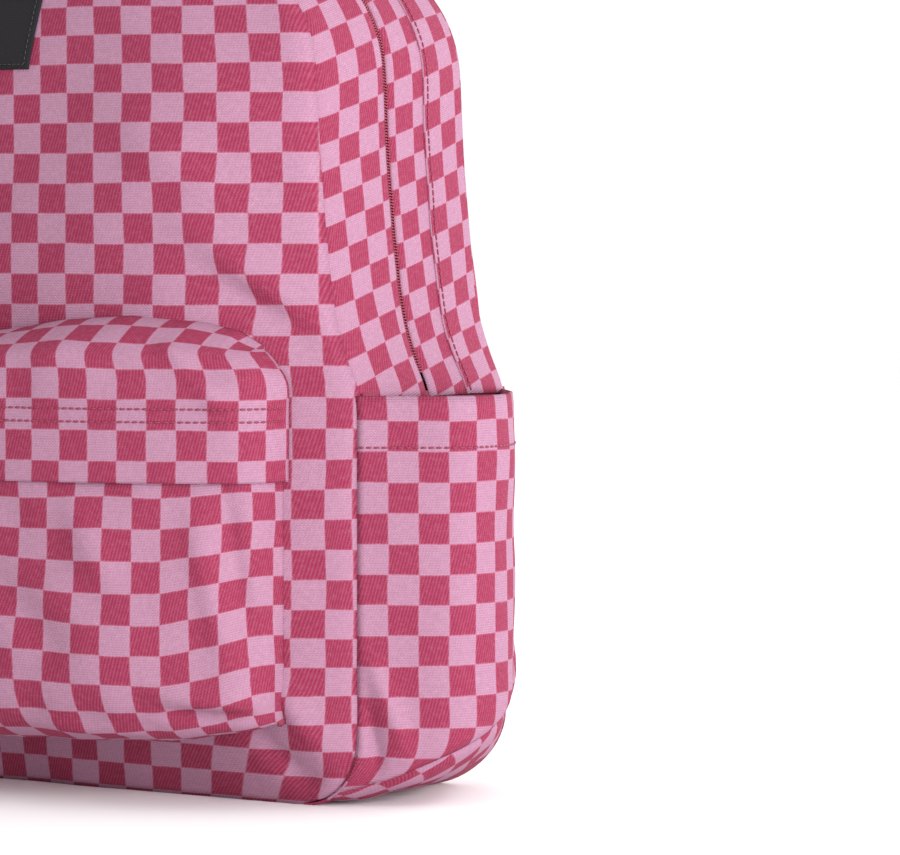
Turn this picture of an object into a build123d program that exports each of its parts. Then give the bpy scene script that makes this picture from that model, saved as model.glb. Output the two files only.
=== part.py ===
from build123d import *
import os
from math import cos, radians, sin

os.makedirs("parts", exist_ok=True)

# ---- Driving dimensions, in millimetres. +Z is up, the wearer is on the +Y side. ----
HEIGHT = 408.0            # floor to the top of the arch
HALF_BASE = 162.0         # half width at the base
HALF_WAIST = 147.0        # half width where the sides start to narrow above the side pockets
HALF_TOP = 138.0          # half width at the foot of the shoulders
HIP_Z = 178.0             # mouth of the side pockets
WAIST_Z = 225.0
BASE_CORNER = 30.0        # radius of the lower corners
SHOULDER = 56.0           # radius of the upper corners
CROWN_ANGLE = 48.0        # the top arc spans this angle each side of the centre
FRONT_Y = -56.0           # seam of the front panel to the gusset
REAR_Y = 56.0             # seam of the gusset to the back panel
SLIT_Y = -7.0             # centre of the main zip
TOPSTITCH_Y = 20.0        # seam between the rear zip lip and the rear gusset
FABRIC = 1.6              # one panel: canvas and its lining
CLEAR = 0.3               # gap kept from a piece on another body
SPAN = 600.0              # longer than any side of the bag, for cutting boxes

BULGE = 50.0              # how far the stuffed front panel stands out at its middle
BULGE_POWER = 2.5         # the panel is flat in the middle and turns near its seam
BULGE_REACHES = (1.0, 0.85, 0.65, 0.4, 0.15)
FOLD_Z = 214.0            # the front panel folds forward here, above the front pocket

CROWN_R = SHOULDER + (HALF_TOP - SHOULDER) / sin(radians(CROWN_ANGLE))
CROWN_Z = HEIGHT - CROWN_R
SHOULDER_X = HALF_TOP - SHOULDER
SHOULDER_Z = CROWN_Z + (CROWN_R - SHOULDER) * cos(radians(CROWN_ANGLE))
MIDDLE_Z = HEIGHT / 2


def save(piece, name):
    """Label a finished piece and write it as a STEP file of the same name."""
    piece.part.label = name
    export_step(piece.part, f"parts/{name}.step")


def arch(inset=0.0, reach=1.0, mode=Mode.ADD):
    """Fill the arched outline of the bag in the current sketch, inset from the skin and scaled by reach."""

    def at(x, z):
        return (x * reach, MIDDLE_Z + (z - MIDDLE_Z) * reach)

    base, waist, top = HALF_BASE - inset, HALF_WAIST - inset, HALF_TOP - inset
    corner = BASE_CORNER - inset
    shoulder = SHOULDER - inset
    crown = CROWN_R - inset
    turn = 90 - CROWN_ANGLE
    with BuildLine() as outline:
        Line(at(0, inset), at(base - corner, inset))
        CenterArc(at(base - corner, inset + corner), corner * reach, -90, 90)
        Line(at(base, inset + corner), at(base, HIP_Z))
        Line(at(base, HIP_Z), at(waist, WAIST_Z))
        Line(at(waist, WAIST_Z), at(top, SHOULDER_Z))
        CenterArc(at(SHOULDER_X, SHOULDER_Z), shoulder * reach, 0, turn)
        CenterArc(at(0, CROWN_Z), crown * reach, turn, CROWN_ANGLE)
        mirror(about=Plane.YZ)
    make_face(outline.edges(), mode=mode)


def arch_strip(y_front, y_rear, inset, thickness, z_low, z_high, x_low=-SPAN, x_high=SPAN):
    """One strip of the ring of fabric that runs round the bag, between two depths and two heights."""
    with BuildPart(mode=Mode.PRIVATE) as strip:
        with BuildSketch(Plane.XZ.offset(-y_rear)):
            arch(inset)
            arch(inset + thickness, mode=Mode.SUBTRACT)
            with Locations(((x_low + x_high) / 2, (z_low + z_high) / 2)):
                Rectangle(x_high - x_low, z_high - z_low, mode=Mode.INTERSECT)
        extrude(amount=y_rear - y_front)
    return strip.part


def front_dome(inset):
    """The solid under the stuffed front panel, inset from its outer skin."""
    with BuildPart(mode=Mode.PRIVATE) as dome:
        for reach in BULGE_REACHES:
            depth = FRONT_Y - BULGE * (1 - reach**BULGE_POWER) + inset
            with BuildSketch(Plane.XZ.offset(-depth)):
                arch(inset, reach)
        loft()
    return dome.part


def keep_between(z_low, z_high):
    """Cut the current part down to what lies between two heights."""
    with Locations((0, 0, (z_low + z_high) / 2)):
        Box(SPAN * 2, SPAN * 2, z_high - z_low, mode=Mode.INTERSECT)


# ---- Body: base, sides, gusset strips and front panel ----

with BuildPart() as base_panel:
    add(arch_strip(FRONT_Y, REAR_Y, 0, FABRIC, 0, BASE_CORNER))
save(base_panel, "base_panel")

BOARD_INSET = 14.0
BOARD = 2.0
BOARD_ROUND = 12.0
with BuildPart() as base_board:
    with BuildSketch(Plane.XY.offset(FABRIC)):
        board_w = 2 * (HALF_BASE - BASE_CORNER)
        board_d = REAR_Y - FRONT_Y - 2 * BOARD_INSET
        RectangleRounded(board_w, board_d, BOARD_ROUND)
    extrude(amount=BOARD)
save(base_board, "base_board")

for name, x_low, x_high in (("left", -SPAN, 0), ("right", 0, SPAN)):
    with BuildPart() as side_panel:
        add(arch_strip(FRONT_Y, REAR_Y, 0, FABRIC, BASE_CORNER, HIP_Z, x_low, x_high))
    save(side_panel, f"side_panel_{name}")

SLIT = 3.0                # gap between the two zip lips
LIP_FRONT_Y = SLIT_Y - SLIT / 2
LIP_REAR_Y = SLIT_Y + SLIT / 2

for name, x_low, x_high in (("left", -SPAN, 0), ("right", 0, SPAN)):
    with BuildPart() as gusset_foot:
        add(arch_strip(FRONT_Y, LIP_FRONT_Y, 0, FABRIC, HIP_Z, FOLD_Z - CLEAR, x_low, x_high))
    save(gusset_foot, f"front_gusset_foot_{name}")

with BuildPart() as front_gusset:
    add(arch_strip(FRONT_Y, LIP_FRONT_Y, 0, FABRIC, FOLD_Z + CLEAR, HEIGHT))
save(front_gusset, "front_gusset")

with BuildPart() as zip_lip_rear:
    add(arch_strip(LIP_REAR_Y, TOPSTITCH_Y, 0, FABRIC, HIP_Z, HEIGHT))
save(zip_lip_rear, "zip_lip_rear")

with BuildPart() as rear_gusset:
    add(arch_strip(TOPSTITCH_Y, REAR_Y, 0, FABRIC, HIP_Z, HEIGHT))
save(rear_gusset, "rear_gusset")

dome_skin = front_dome(0)
dome_lining = front_dome(FABRIC)
for name, z_low, z_high in (("lower", 0, FOLD_Z - CLEAR), ("upper", FOLD_Z + CLEAR, HEIGHT)):
    with BuildPart() as front_panel:
        add(dome_skin)
        add(dome_lining, mode=Mode.SUBTRACT)
        keep_between(z_low, z_high)
        with Locations((0, FRONT_Y - SPAN / 2, HEIGHT / 2)):
            Box(SPAN, SPAN, SPAN, mode=Mode.INTERSECT)
    save(front_panel, f"front_panel_{name}")

# ---- Woven label, sewn flat on the upper front panel ----

LABEL_W = 42.0
LABEL_LOW = 318.0
LABEL_HIGH = 352.0
LABEL = 1.2
label_dome = front_dome(-LABEL)
with BuildPart() as label_patch:
    add(label_dome)
    add(dome_skin, mode=Mode.SUBTRACT)
    with Locations((0, FRONT_Y - BULGE / 2, (LABEL_LOW + LABEL_HIGH) / 2)):
        Box(LABEL_W, BULGE + 4 * LABEL, LABEL_HIGH - LABEL_LOW, mode=Mode.INTERSECT)
save(label_patch, "label_patch")

# ---- Main zip: tapes under the lips, a coil on each tape, stops at both ends ----

TAPE = 0.8
TAPE_W = 11.0
COIL_W = 1.2
COIL = 2.4
TAPE_DEPTH = FABRIC       # the tape lies under its lip
ZIP_FOOT_Z = HIP_Z + 8

MAIN_ZIP = (
    ("front", LIP_FRONT_Y - TAPE_W, LIP_FRONT_Y, SLIT_Y - CLEAR - COIL_W, SLIT_Y - CLEAR, FOLD_Z + CLEAR),
    ("rear", LIP_REAR_Y, LIP_REAR_Y + TAPE_W, SLIT_Y + CLEAR, SLIT_Y + CLEAR + COIL_W, ZIP_FOOT_Z),
)
for name, tape_front, tape_rear, coil_front, coil_rear, foot in MAIN_ZIP:
    with BuildPart() as main_tape:
        add(arch_strip(tape_front, tape_rear, TAPE_DEPTH, TAPE, foot, HEIGHT))
    save(main_tape, f"main_zip_tape_{name}")
    with BuildPart() as main_coil:
        add(arch_strip(coil_front, coil_rear, TAPE_DEPTH, COIL, foot, HEIGHT))
    save(main_coil, f"main_zip_coil_{name}")

STOP_H = 5.0
with BuildPart() as main_zip_stops:
    for x_low, x_high in ((-SPAN, 0), (0, SPAN)):
        stop_y = (LIP_FRONT_Y, LIP_REAR_Y)
        add(arch_strip(*stop_y, TAPE_DEPTH, COIL, ZIP_FOOT_Z - STOP_H, ZIP_FOOT_Z - CLEAR, x_low, x_high))
save(main_zip_stops, "main_zip_stops")

# ---- Main sliders and pulls, riding on the front coil ----

SLIDER_L = 12.0
SLIDER_W = 10.0
SLIDER_PLATE = 2.2
SLIDER_GAP = 0.5
SLIDER_ROUND = 2.5
SLIDER_REST = 2.8         # degrees from the centre, where the two sliders meet
LUG_H = 4.4
LUG_W = 3.0
LUG_L = 5.0
LUG_ROUND = 1.5
LUG_NECK = 1.8            # length of the neck that joins the lug to the plate
PIN_R = 0.9
PIN_FIT = 0.06
PULL_L = 30.0
PULL_W = 8.0
PULL = 1.6
PULL_ROUND = 3.0
PULL_SLOT = (8.0, 4.0)    # the slot that takes the lug
PULL_HOLE_R = 1.8
PULL_HOLE_END = 7.0       # from the pin to the hole is this much less than the pull's length
PIN_END = 0.6             # the pin stops this far inside the pull's edge
PULL_LEAN = 8.0           # degrees the pull points below the slider, to lie along the arch


def slider_plane(side):
    """A plane on the arch's skin at a slider: x runs away from the centre, z points outwards."""
    lean = radians(SLIDER_REST)
    out = (side * sin(lean), 0, cos(lean))
    along = (side * cos(lean), 0, -sin(lean))
    middle = (side * CROWN_R * sin(lean), SLIT_Y, CROWN_Z + CROWN_R * cos(lean))
    return Plane(origin=middle, x_dir=along, z_dir=out)


PLATE_TOP = SLIDER_GAP + SLIDER_PLATE
LUG_Z = PLATE_TOP + LUG_H / 2
for name, side in (("left", -1), ("right", 1)):
    skin = slider_plane(side)
    across = Plane(origin=skin.from_local_coords((0, 0, LUG_Z)), x_dir=skin.x_dir, z_dir=skin.y_dir)
    with BuildPart() as main_slider:
        with BuildSketch(skin.offset(SLIDER_GAP)):
            RectangleRounded(SLIDER_L, SLIDER_W, SLIDER_ROUND)
        extrude(amount=SLIDER_PLATE)
        with BuildSketch(across):
            RectangleRounded(LUG_L, LUG_H, LUG_ROUND)
            Circle(PIN_R + PIN_FIT, mode=Mode.SUBTRACT)
        extrude(amount=LUG_W / 2, both=True)
        with BuildSketch(skin.offset(PLATE_TOP - 0.2)):
            Rectangle(LUG_NECK, LUG_W)
        extrude(amount=2 * CLEAR)
    save(main_slider, f"main_slider_{name}")
    lean = radians(SLIDER_REST + PULL_LEAN)
    tab = Plane(
        origin=across.origin,
        x_dir=(side * cos(lean), 0, -sin(lean)),
        z_dir=(side * sin(lean), 0, cos(lean)),
    )
    with BuildPart() as main_pull:
        with BuildSketch(tab.offset(-PULL / 2)):
            with Locations((PULL_L / 2 - PIN_R, 0)):
                RectangleRounded(PULL_L, PULL_W, PULL_ROUND)
            with Locations((0.5, 0)):
                Rectangle(*PULL_SLOT, mode=Mode.SUBTRACT)
            with Locations((PULL_L - PULL_HOLE_END, 0)):
                Circle(PULL_HOLE_R, mode=Mode.SUBTRACT)
        extrude(amount=PULL)
        with BuildSketch(across):
            Circle(PIN_R)
        extrude(amount=PULL_W / 2 - PIN_END, both=True)
    save(main_pull, f"main_pull_{name}")

# ---- Front pocket: a boxed pouch on the lower front panel, with a flap over its zip ----

POCKET_FRONT_Y = -138.0
POCKET_HALF = 136.0
POCKET_CORNER = 24.0
POCKET_TURN = 32.0        # the front has turned this many degrees where the corner starts
POCKET_LOW = 28.0
POCKET_EDGE_Z = 198.0     # front edge of the sloping top
POCKET_TOP_Z = 214.0      # where the top meets the front panel
POCKET_TOP_RUN = 20.0     # the top has reached its full height this far behind its edge
ZIP_TOP_Z = 165.0
ZIP_LOW_Z = 150.0
FLAP_LOW_Z = 141.5
FLAP_TOP_Z = 172.0
TURN = radians(POCKET_TURN)
POCKET_END_X = POCKET_HALF - POCKET_CORNER * (1 - sin(TURN))
POCKET_R = POCKET_END_X / sin(TURN)
POCKET_CENTRE_Y = POCKET_FRONT_Y + POCKET_R
CORNER_Y = POCKET_CENTRE_Y - (POCKET_R - POCKET_CORNER) * cos(TURN)


def pocket_plan(inset, mode=Mode.ADD):
    """Fill the plan of the front pocket in the current sketch, inset from its skin."""
    with BuildLine() as outline:
        CenterArc((0, POCKET_CENTRE_Y), POCKET_R - inset, -90, POCKET_TURN)
        corner = POCKET_CORNER - inset
        CenterArc((POCKET_HALF - POCKET_CORNER, CORNER_Y), corner, POCKET_TURN - 90, 90 - POCKET_TURN)
        Line((POCKET_HALF - inset, CORNER_Y), (POCKET_HALF - inset, FRONT_Y))
        Line((POCKET_HALF - inset, FRONT_Y), (0, FRONT_Y))
        mirror(about=Plane.YZ)
    make_face(outline.edges(), mode=mode)


def pocket_wall(inset, thickness, z_low, z_high, half=SPAN):
    """A band of the front pocket's wall between two heights, clear of the bag's front panel."""
    with BuildPart(mode=Mode.PRIVATE) as wall:
        with BuildSketch(Plane.XY.offset(z_low)):
            pocket_plan(inset)
            pocket_plan(inset + thickness, mode=Mode.SUBTRACT)
            with Locations((0, POCKET_FRONT_Y)):
                Rectangle(2 * half, SPAN, mode=Mode.INTERSECT)
        extrude(amount=z_high - z_low)
        add(dome_skin, mode=Mode.SUBTRACT)
    return wall.part


def sloping_top(inset):
    """The solid under the pocket's sloping top, inset from its skin."""
    with BuildPart(mode=Mode.PRIVATE) as top:
        for z, run in ((POCKET_EDGE_Z, 0), (POCKET_TOP_Z, POCKET_TOP_RUN)):
            with BuildSketch(Plane.XY.offset(z - inset)):
                pocket_plan(inset + run)
        loft(ruled=True)
    return top.part


with BuildPart() as pocket_yoke:
    for inset, mode in ((0, Mode.ADD), (FABRIC, Mode.SUBTRACT)):
        with BuildSketch(Plane.XY.offset(ZIP_TOP_Z)):
            pocket_plan(inset)
        extrude(amount=POCKET_EDGE_Z - ZIP_TOP_Z - inset, mode=mode)
        add(sloping_top(inset), mode=mode)
    add(dome_skin, mode=Mode.SUBTRACT)
save(pocket_yoke, "pocket_yoke")

with BuildPart() as pocket_front:
    for inset, mode in ((0, Mode.ADD), (FABRIC, Mode.SUBTRACT)):
        with BuildSketch(Plane.XY.offset(POCKET_LOW + inset)):
            pocket_plan(inset)
        extrude(amount=ZIP_LOW_Z - POCKET_LOW, mode=mode)
    keep_between(0, ZIP_LOW_Z)
    add(dome_skin, mode=Mode.SUBTRACT)
save(pocket_front, "pocket_front")

ZIP_HALF = 112.0
ZIP_INSET = 6.0
COIL_Z = (ZIP_TOP_Z + ZIP_LOW_Z) / 2
COIL_H = 3.0
POCKET_TAPES = (
    ("lower", ZIP_LOW_Z, COIL_Z - COIL_H / 2),
    ("upper", COIL_Z + COIL_H / 2, ZIP_TOP_Z),
)
for name, z_low, z_high in POCKET_TAPES:
    with BuildPart() as pocket_tape:
        add(pocket_wall(ZIP_INSET, TAPE, z_low, z_high, ZIP_HALF))
    save(pocket_tape, f"pocket_zip_tape_{name}")
with BuildPart() as pocket_coil:
    add(pocket_wall(ZIP_INSET, COIL_W, COIL_Z - COIL_H / 2, COIL_Z + COIL_H / 2, ZIP_HALF))
save(pocket_coil, "pocket_zip_coil")

FLAP = 1.4
FLAP_GAP = 0.8
FLAP_HALF = 122.0
with BuildPart() as pocket_flap:
    add(pocket_wall(-FLAP_GAP - FLAP, FLAP, FLAP_LOW_Z, FLAP_TOP_Z, FLAP_HALF))
save(pocket_flap, "pocket_flap")

# ---- Front pocket slider, at the left end of its coil ----

POCKET_SLIDER_ANGLE = 24.0
POCKET_SLIDER = 2.2
POCKET_SLIDER_SIZE = (9.0, 8.0)
POCKET_PULL_L = 9.5
POCKET_PULL_W = 5.0
POCKET_PULL = 1.0
POCKET_PULL_RISE = 3.0    # how far the pull's top stands above the coil
turn_x = -sin(radians(POCKET_SLIDER_ANGLE))
turn_y = -cos(radians(POCKET_SLIDER_ANGLE))
slide_r = POCKET_R - ZIP_INSET + CLEAR
slider_at = (slide_r * turn_x, POCKET_CENTRE_Y + slide_r * turn_y, COIL_Z)
slider_face = Plane(origin=slider_at, x_dir=(-turn_y, turn_x, 0), z_dir=(turn_x, turn_y, 0))
with BuildPart() as pocket_slider:
    with BuildSketch(slider_face):
        RectangleRounded(*POCKET_SLIDER_SIZE, 2)
    extrude(amount=POCKET_SLIDER)
save(pocket_slider, "pocket_slider")
with BuildPart() as pocket_pull:
    with BuildSketch(slider_face.offset(POCKET_SLIDER)):
        with Locations((0, POCKET_PULL_RISE - POCKET_PULL_L / 2)):
            RectangleRounded(POCKET_PULL_W, POCKET_PULL_L, 2)
            Circle(POCKET_PULL_W / 4, mode=Mode.SUBTRACT)
    extrude(amount=POCKET_PULL)
save(pocket_pull, "pocket_pull")

# ---- Side pockets: stretched pouches with an elastic hem ----

POUCH_LOW = 3.0
POUCH_WALL = 1.6
HEM_H = 22.0
HEM = 3.0
ELASTIC = 1.0
POUCH_FOOT_Z = 36.0       # the pouch narrows towards the floor below here
POUCH_FOOT = 0.45         # share of its bulge that is left at the floor
POUCH_PLAN = (
    (16.0, -44.8),
    (32.4, -33.3),
    (39.0, -22.0),
    (40.2, -9.0),
    (37.4, 4.0),
    (31.8, 16.0),
    (20.0, 34.0),
)


def pouch_plan(side, inset, share=1.0):
    """Fill the plan of a side pocket, from the side panel outwards; share scales its bulge."""
    points = [(side * (HALF_BASE + x * share - inset), y * (1 - inset / REAR_Y)) for x, y in POUCH_PLAN]
    end_y = REAR_Y - 2 * inset
    foot = side * (HALF_BASE - inset)
    with BuildLine() as outline:
        Spline((foot, -end_y), *points, (foot, end_y))
        Line((foot, end_y), (foot, -end_y))
    make_face(outline.edges())


def pouch(side, inset, z_low, z_high):
    """The solid inside one skin of a side pocket, between two heights."""
    with BuildPart(mode=Mode.PRIVATE) as body:
        if z_low < POUCH_FOOT_Z:
            for z, share in ((z_low, POUCH_FOOT), (POUCH_FOOT_Z, 1.0)):
                with BuildSketch(Plane.XY.offset(z)):
                    pouch_plan(side, inset, share)
            loft()
        start = max(z_low, POUCH_FOOT_Z)
        with BuildSketch(Plane.XY.offset(start)):
            pouch_plan(side, inset)
        extrude(amount=z_high - start)
    return body.part


def clear_of_side(side):
    """Cut the current part off at the face of the side panel."""
    with Locations((side * HALF_BASE / 2, 0, HIP_Z / 2)):
        Box(HALF_BASE, SPAN, SPAN, mode=Mode.SUBTRACT)


ELASTIC_INSET = (HEM - ELASTIC) / 2
ELASTIC_LOW = HIP_Z - HEM_H + 1
for name, side in (("left", -1), ("right", 1)):
    skin = pouch(side, 0, POUCH_LOW, HIP_Z)
    lining = pouch(side, POUCH_WALL, POUCH_LOW + POUCH_WALL, HIP_Z + HEM)
    hem_lining = pouch(side, HEM, HIP_Z - HEM_H - HEM, HIP_Z + HEM)
    elastic_skin = pouch(side, ELASTIC_INSET, ELASTIC_LOW, HIP_Z - 1)
    elastic_lining = pouch(side, ELASTIC_INSET + ELASTIC, ELASTIC_LOW - 1, HIP_Z)
    with BuildPart() as side_pocket:
        add(skin)
        add(lining, mode=Mode.SUBTRACT)
        keep_between(POUCH_LOW, HIP_Z - HEM_H)
        clear_of_side(side)
    save(side_pocket, f"side_pocket_{name}")
    with BuildPart() as hem_elastic:
        add(elastic_skin)
        add(elastic_lining, mode=Mode.SUBTRACT)
        clear_of_side(side)
    save(hem_elastic, f"hem_elastic_{name}")
    with BuildPart() as side_pocket_hem:
        add(skin)
        add(hem_lining, mode=Mode.SUBTRACT)
        keep_between(HIP_Z - HEM_H, HIP_Z)
        clear_of_side(side)
        add(hem_elastic.part, mode=Mode.SUBTRACT)
    save(side_pocket_hem, f"side_pocket_hem_{name}")

# ---- Back: fabric, foam, lining and pads; the laptop sleeve inside ----

BACK = 1.6
FOAM = 7.0
FOAM_INSET = 5.0
LINING = 1.0
with BuildPart() as back_panel:
    with BuildSketch(Plane.XZ.offset(-REAR_Y - BACK)):
        arch()
    extrude(amount=BACK)
save(back_panel, "back_panel")
with BuildPart() as back_foam:
    with BuildSketch(Plane.XZ.offset(-REAR_Y)):
        arch(FOAM_INSET)
    extrude(amount=FOAM)
save(back_foam, "back_foam")
with BuildPart() as back_lining:
    with BuildSketch(Plane.XZ.offset(-REAR_Y + FOAM)):
        arch(FOAM_INSET)
    extrude(amount=LINING)
save(back_lining, "back_lining")

PAD = 7.0
PAD_ROUND = 16.0
PAD_EDGE = 4.0
PAD_SIZE = (92.0, 190.0)
PAD_X = 62.0
PAD_Z = 210.0
LUMBAR_SIZE = (190.0, 58.0)
LUMBAR_Z = 72.0
PADS = (
    ("back_pad_left", -PAD_X, PAD_Z, PAD_SIZE),
    ("back_pad_right", PAD_X, PAD_Z, PAD_SIZE),
    ("back_pad_lumbar", 0, LUMBAR_Z, LUMBAR_SIZE),
)
for name, x, z, size in PADS:
    with BuildPart() as back_pad:
        with BuildSketch(Plane.XZ.offset(-REAR_Y - BACK - PAD)):
            with Locations((x, z)):
                RectangleRounded(*size, PAD_ROUND)
        extrude(amount=PAD)
        fillet(back_pad.faces().sort_by(Axis.Y)[-1].edges(), PAD_EDGE)
    save(back_pad, name)

SLEEVE_Y = 24.0
SLEEVE = 1.2
SLEEVE_HALF = 134.0
SLEEVE_TOP = 270.0
BINDING_H = 14.0
BINDING = 3.0
with BuildPart() as laptop_sleeve:
    with BuildSketch(Plane.XY.offset(FABRIC + BOARD)):
        with Locations((0, SLEEVE_Y)):
            Rectangle(2 * SLEEVE_HALF, SLEEVE)
    extrude(amount=SLEEVE_TOP - BINDING_H - FABRIC - BOARD)
save(laptop_sleeve, "laptop_sleeve")
with BuildPart() as sleeve_binding:
    with BuildSketch(Plane.XY.offset(SLEEVE_TOP - BINDING_H)):
        with Locations((0, SLEEVE_Y)):
            RectangleRounded(2 * SLEEVE_HALF, BINDING, SLEEVE)
    extrude(amount=BINDING_H)
save(sleeve_binding, "laptop_sleeve_binding")

# ---- Haul loop, sewn into the top of the back seam: it turns on the round foot of each end ----

LOOP_HALF = 42.0
LOOP_W = 18.0
LOOP_H = 40.0
LOOP = 3.0
LOOP_Y = REAR_Y + BACK + LOOP / 2 + CLEAR
LOOP_PIVOT_Z = HEIGHT + 1.5
LOOP_PATCH_H = 26.0
LOOP_FEET = (-LOOP_HALF + LOOP_W / 2, LOOP_HALF - LOOP_W / 2)
with BuildPart() as haul_loop:
    with BuildSketch(Plane.XZ.offset(-LOOP_Y - LOOP / 2)):
        with Locations((0, LOOP_PIVOT_Z)):
            SlotOverall(2 * LOOP_HALF, 2 * LOOP_H)
            SlotOverall(2 * (LOOP_HALF - LOOP_W), 2 * (LOOP_H - LOOP_W), mode=Mode.SUBTRACT)
        with Locations((0, LOOP_PIVOT_Z - SPAN / 2)):
            Rectangle(SPAN, SPAN, mode=Mode.SUBTRACT)
    extrude(amount=LOOP)
    for x in LOOP_FEET:
        with BuildSketch(Plane.YZ.offset(x)):
            with Locations((LOOP_Y, LOOP_PIVOT_Z)):
                Circle(LOOP / 2)
        extrude(amount=LOOP_W / 2, both=True)
save(haul_loop, "haul_loop")
TAB_TOP_Z = LOOP_PIVOT_Z - LOOP / 2 - CLEAR
with BuildPart() as loop_tabs:
    with BuildSketch(Plane.XZ.offset(-LOOP_Y - LOOP / 2)):
        with Locations(*((x, TAB_TOP_Z) for x in LOOP_FEET)):
            Rectangle(LOOP_W, LOOP_PATCH_H, align=(Align.CENTER, Align.MAX))
    extrude(amount=LOOP + CLEAR)
save(loop_tabs, "haul_loop_tabs")

# ---- Shoulder straps: each in a plane that leans outwards towards the floor ----

STRAP_X = 62.0
STRAP_LEAN = 10.0
STRAP_W = 58.0
STRAP = 11.0
STRAP_TOP_Z = 366.0
STRAP_L = 236.0
YOKE_Y = REAR_Y + BACK
YOKE = 2.4
YOKE_LOW = 352.0
YOKE_HIGH = 374.0
YOKE_HALF = 96.0
YOKE_ROUND = 5.0
STRAP_INNER = ((60.8, -2.0), (92.0, -118.0), (76.0, -STRAP_L))
LOCK_Y = 79.0
LOCK_Q = STRAP_L + 24.0
LOCK_SIZE = (40.0, 30.0)
LOCK = 4.6
LOCK_ROUND = 4.0
LOCK_SLOTS = (-8.0, 6.0)  # heights of its two slots from its middle
LOCK_SLOT = (28.0, 5.5)
WEBBING_W = 25.0
WEBBING = 1.6
WING_Q = 330.0
WING = 1.4
WING_INSET = 1.0          # from the bag's side
WING_HIGH_Z = 78.0
WING_TIP_Z = 50.0
WING_TIP_IN = 14.0        # the tip reaches this far past the middle of the webbing
WEBBING_TOP_Q = 203.0
WEBBING_LEAN = 8.0        # degrees the webbing leans off the back
WEBBING_GAP = 0.9         # kept from the wing, so that the webbing can swing

with BuildPart() as strap_yoke:
    with BuildSketch(Plane.XZ.offset(-YOKE_Y - YOKE)):
        with Locations((0, (YOKE_LOW + YOKE_HIGH) / 2)):
            RectangleRounded(2 * YOKE_HALF, YOKE_HIGH - YOKE_LOW, YOKE_ROUND)
    extrude(amount=YOKE)
save(strap_yoke, "strap_yoke")


def strap_plane(side, shift=0.0):
    """The side view of a strap: x is the bag's +Y, y runs up the strap, z crosses it."""
    lean = radians(STRAP_LEAN)
    across = (cos(lean), 0, side * sin(lean))
    start = (side * STRAP_X + shift * across[0], 0, STRAP_TOP_Z + shift * across[2])
    return Plane(origin=start, x_dir=(0, 1, 0), z_dir=across)


for name, side in (("left", -1), ("right", 1)):
    side_view = strap_plane(side)
    with BuildPart() as shoulder_strap:
        with BuildSketch(side_view):
            with BuildLine():
                inner = ThreePointArc(*STRAP_INNER)
                outer = ThreePointArc(*((y + STRAP, q) for y, q in STRAP_INNER))
                Line(inner @ 0, outer @ 0)
                Line(inner @ 1, outer @ 1)
            make_face()
        extrude(amount=STRAP_W / 2, both=True)
    save(shoulder_strap, f"shoulder_strap_{name}")
    # The ladder lock hangs on a short tab sewn to the strap's lower end.
    lock_face = Plane(
        origin=side_view.from_local_coords((LOCK_Y, -LOCK_Q, 0)),
        x_dir=side_view.z_dir,
        z_dir=(0, 1, 0),
    )
    with BuildPart() as strap_tab:
        with BuildSketch(side_view):
            with Locations((LOCK_Y + LOCK / 2, -STRAP_L - CLEAR / 3)):
                tab_l = LOCK_Q - STRAP_L - LOCK_SIZE[1] / 2 - CLEAR
                Rectangle(WEBBING, tab_l, align=(Align.CENTER, Align.MAX))
        extrude(amount=WEBBING_W / 2, both=True)
    save(strap_tab, f"strap_tab_{name}")
    with BuildPart() as ladder_lock:
        with BuildSketch(lock_face):
            RectangleRounded(*LOCK_SIZE, LOCK_ROUND)
            with Locations(*((0, z) for z in LOCK_SLOTS)):
                Rectangle(*LOCK_SLOT, mode=Mode.SUBTRACT)
        extrude(amount=LOCK)
    save(ladder_lock, f"ladder_lock_{name}")
    with BuildPart() as adjuster_webbing:
        with BuildSketch(side_view):
            with BuildLine():
                low = (YOKE_Y + WING + WEBBING_GAP, -WING_Q)
                rise = (WING_Q - WEBBING_TOP_Q) * sin(radians(WEBBING_LEAN))
                high = (low[0] + rise, -WEBBING_TOP_Q)
                Polyline(low, high, (high[0] + WEBBING, high[1]), (low[0] + WEBBING, low[1]), close=True)
            make_face()
        extrude(amount=WEBBING_W / 2, both=True)
    save(adjuster_webbing, f"adjuster_webbing_{name}")
    with BuildPart() as anchor_wing:
        with BuildSketch(Plane.XZ.offset(-YOKE_Y - WING)):
            with BuildLine():
                edge_x = side * (HALF_BASE - WING_INSET)
                tip_x = side * (STRAP_X + sin(radians(STRAP_LEAN)) * WING_Q - WING_TIP_IN)
                low_edge = ((tip_x, BASE_CORNER), (edge_x, BASE_CORNER))
                Polyline(*low_edge, (edge_x, WING_HIGH_Z), (tip_x, WING_TIP_Z), close=True)
            make_face()
        extrude(amount=WING)
    save(anchor_wing, f"anchor_wing_{name}")
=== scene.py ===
from math import cos, pi, radians, sin

import bmesh
import bpy
import numpy as np
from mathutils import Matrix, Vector, noise


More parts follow.
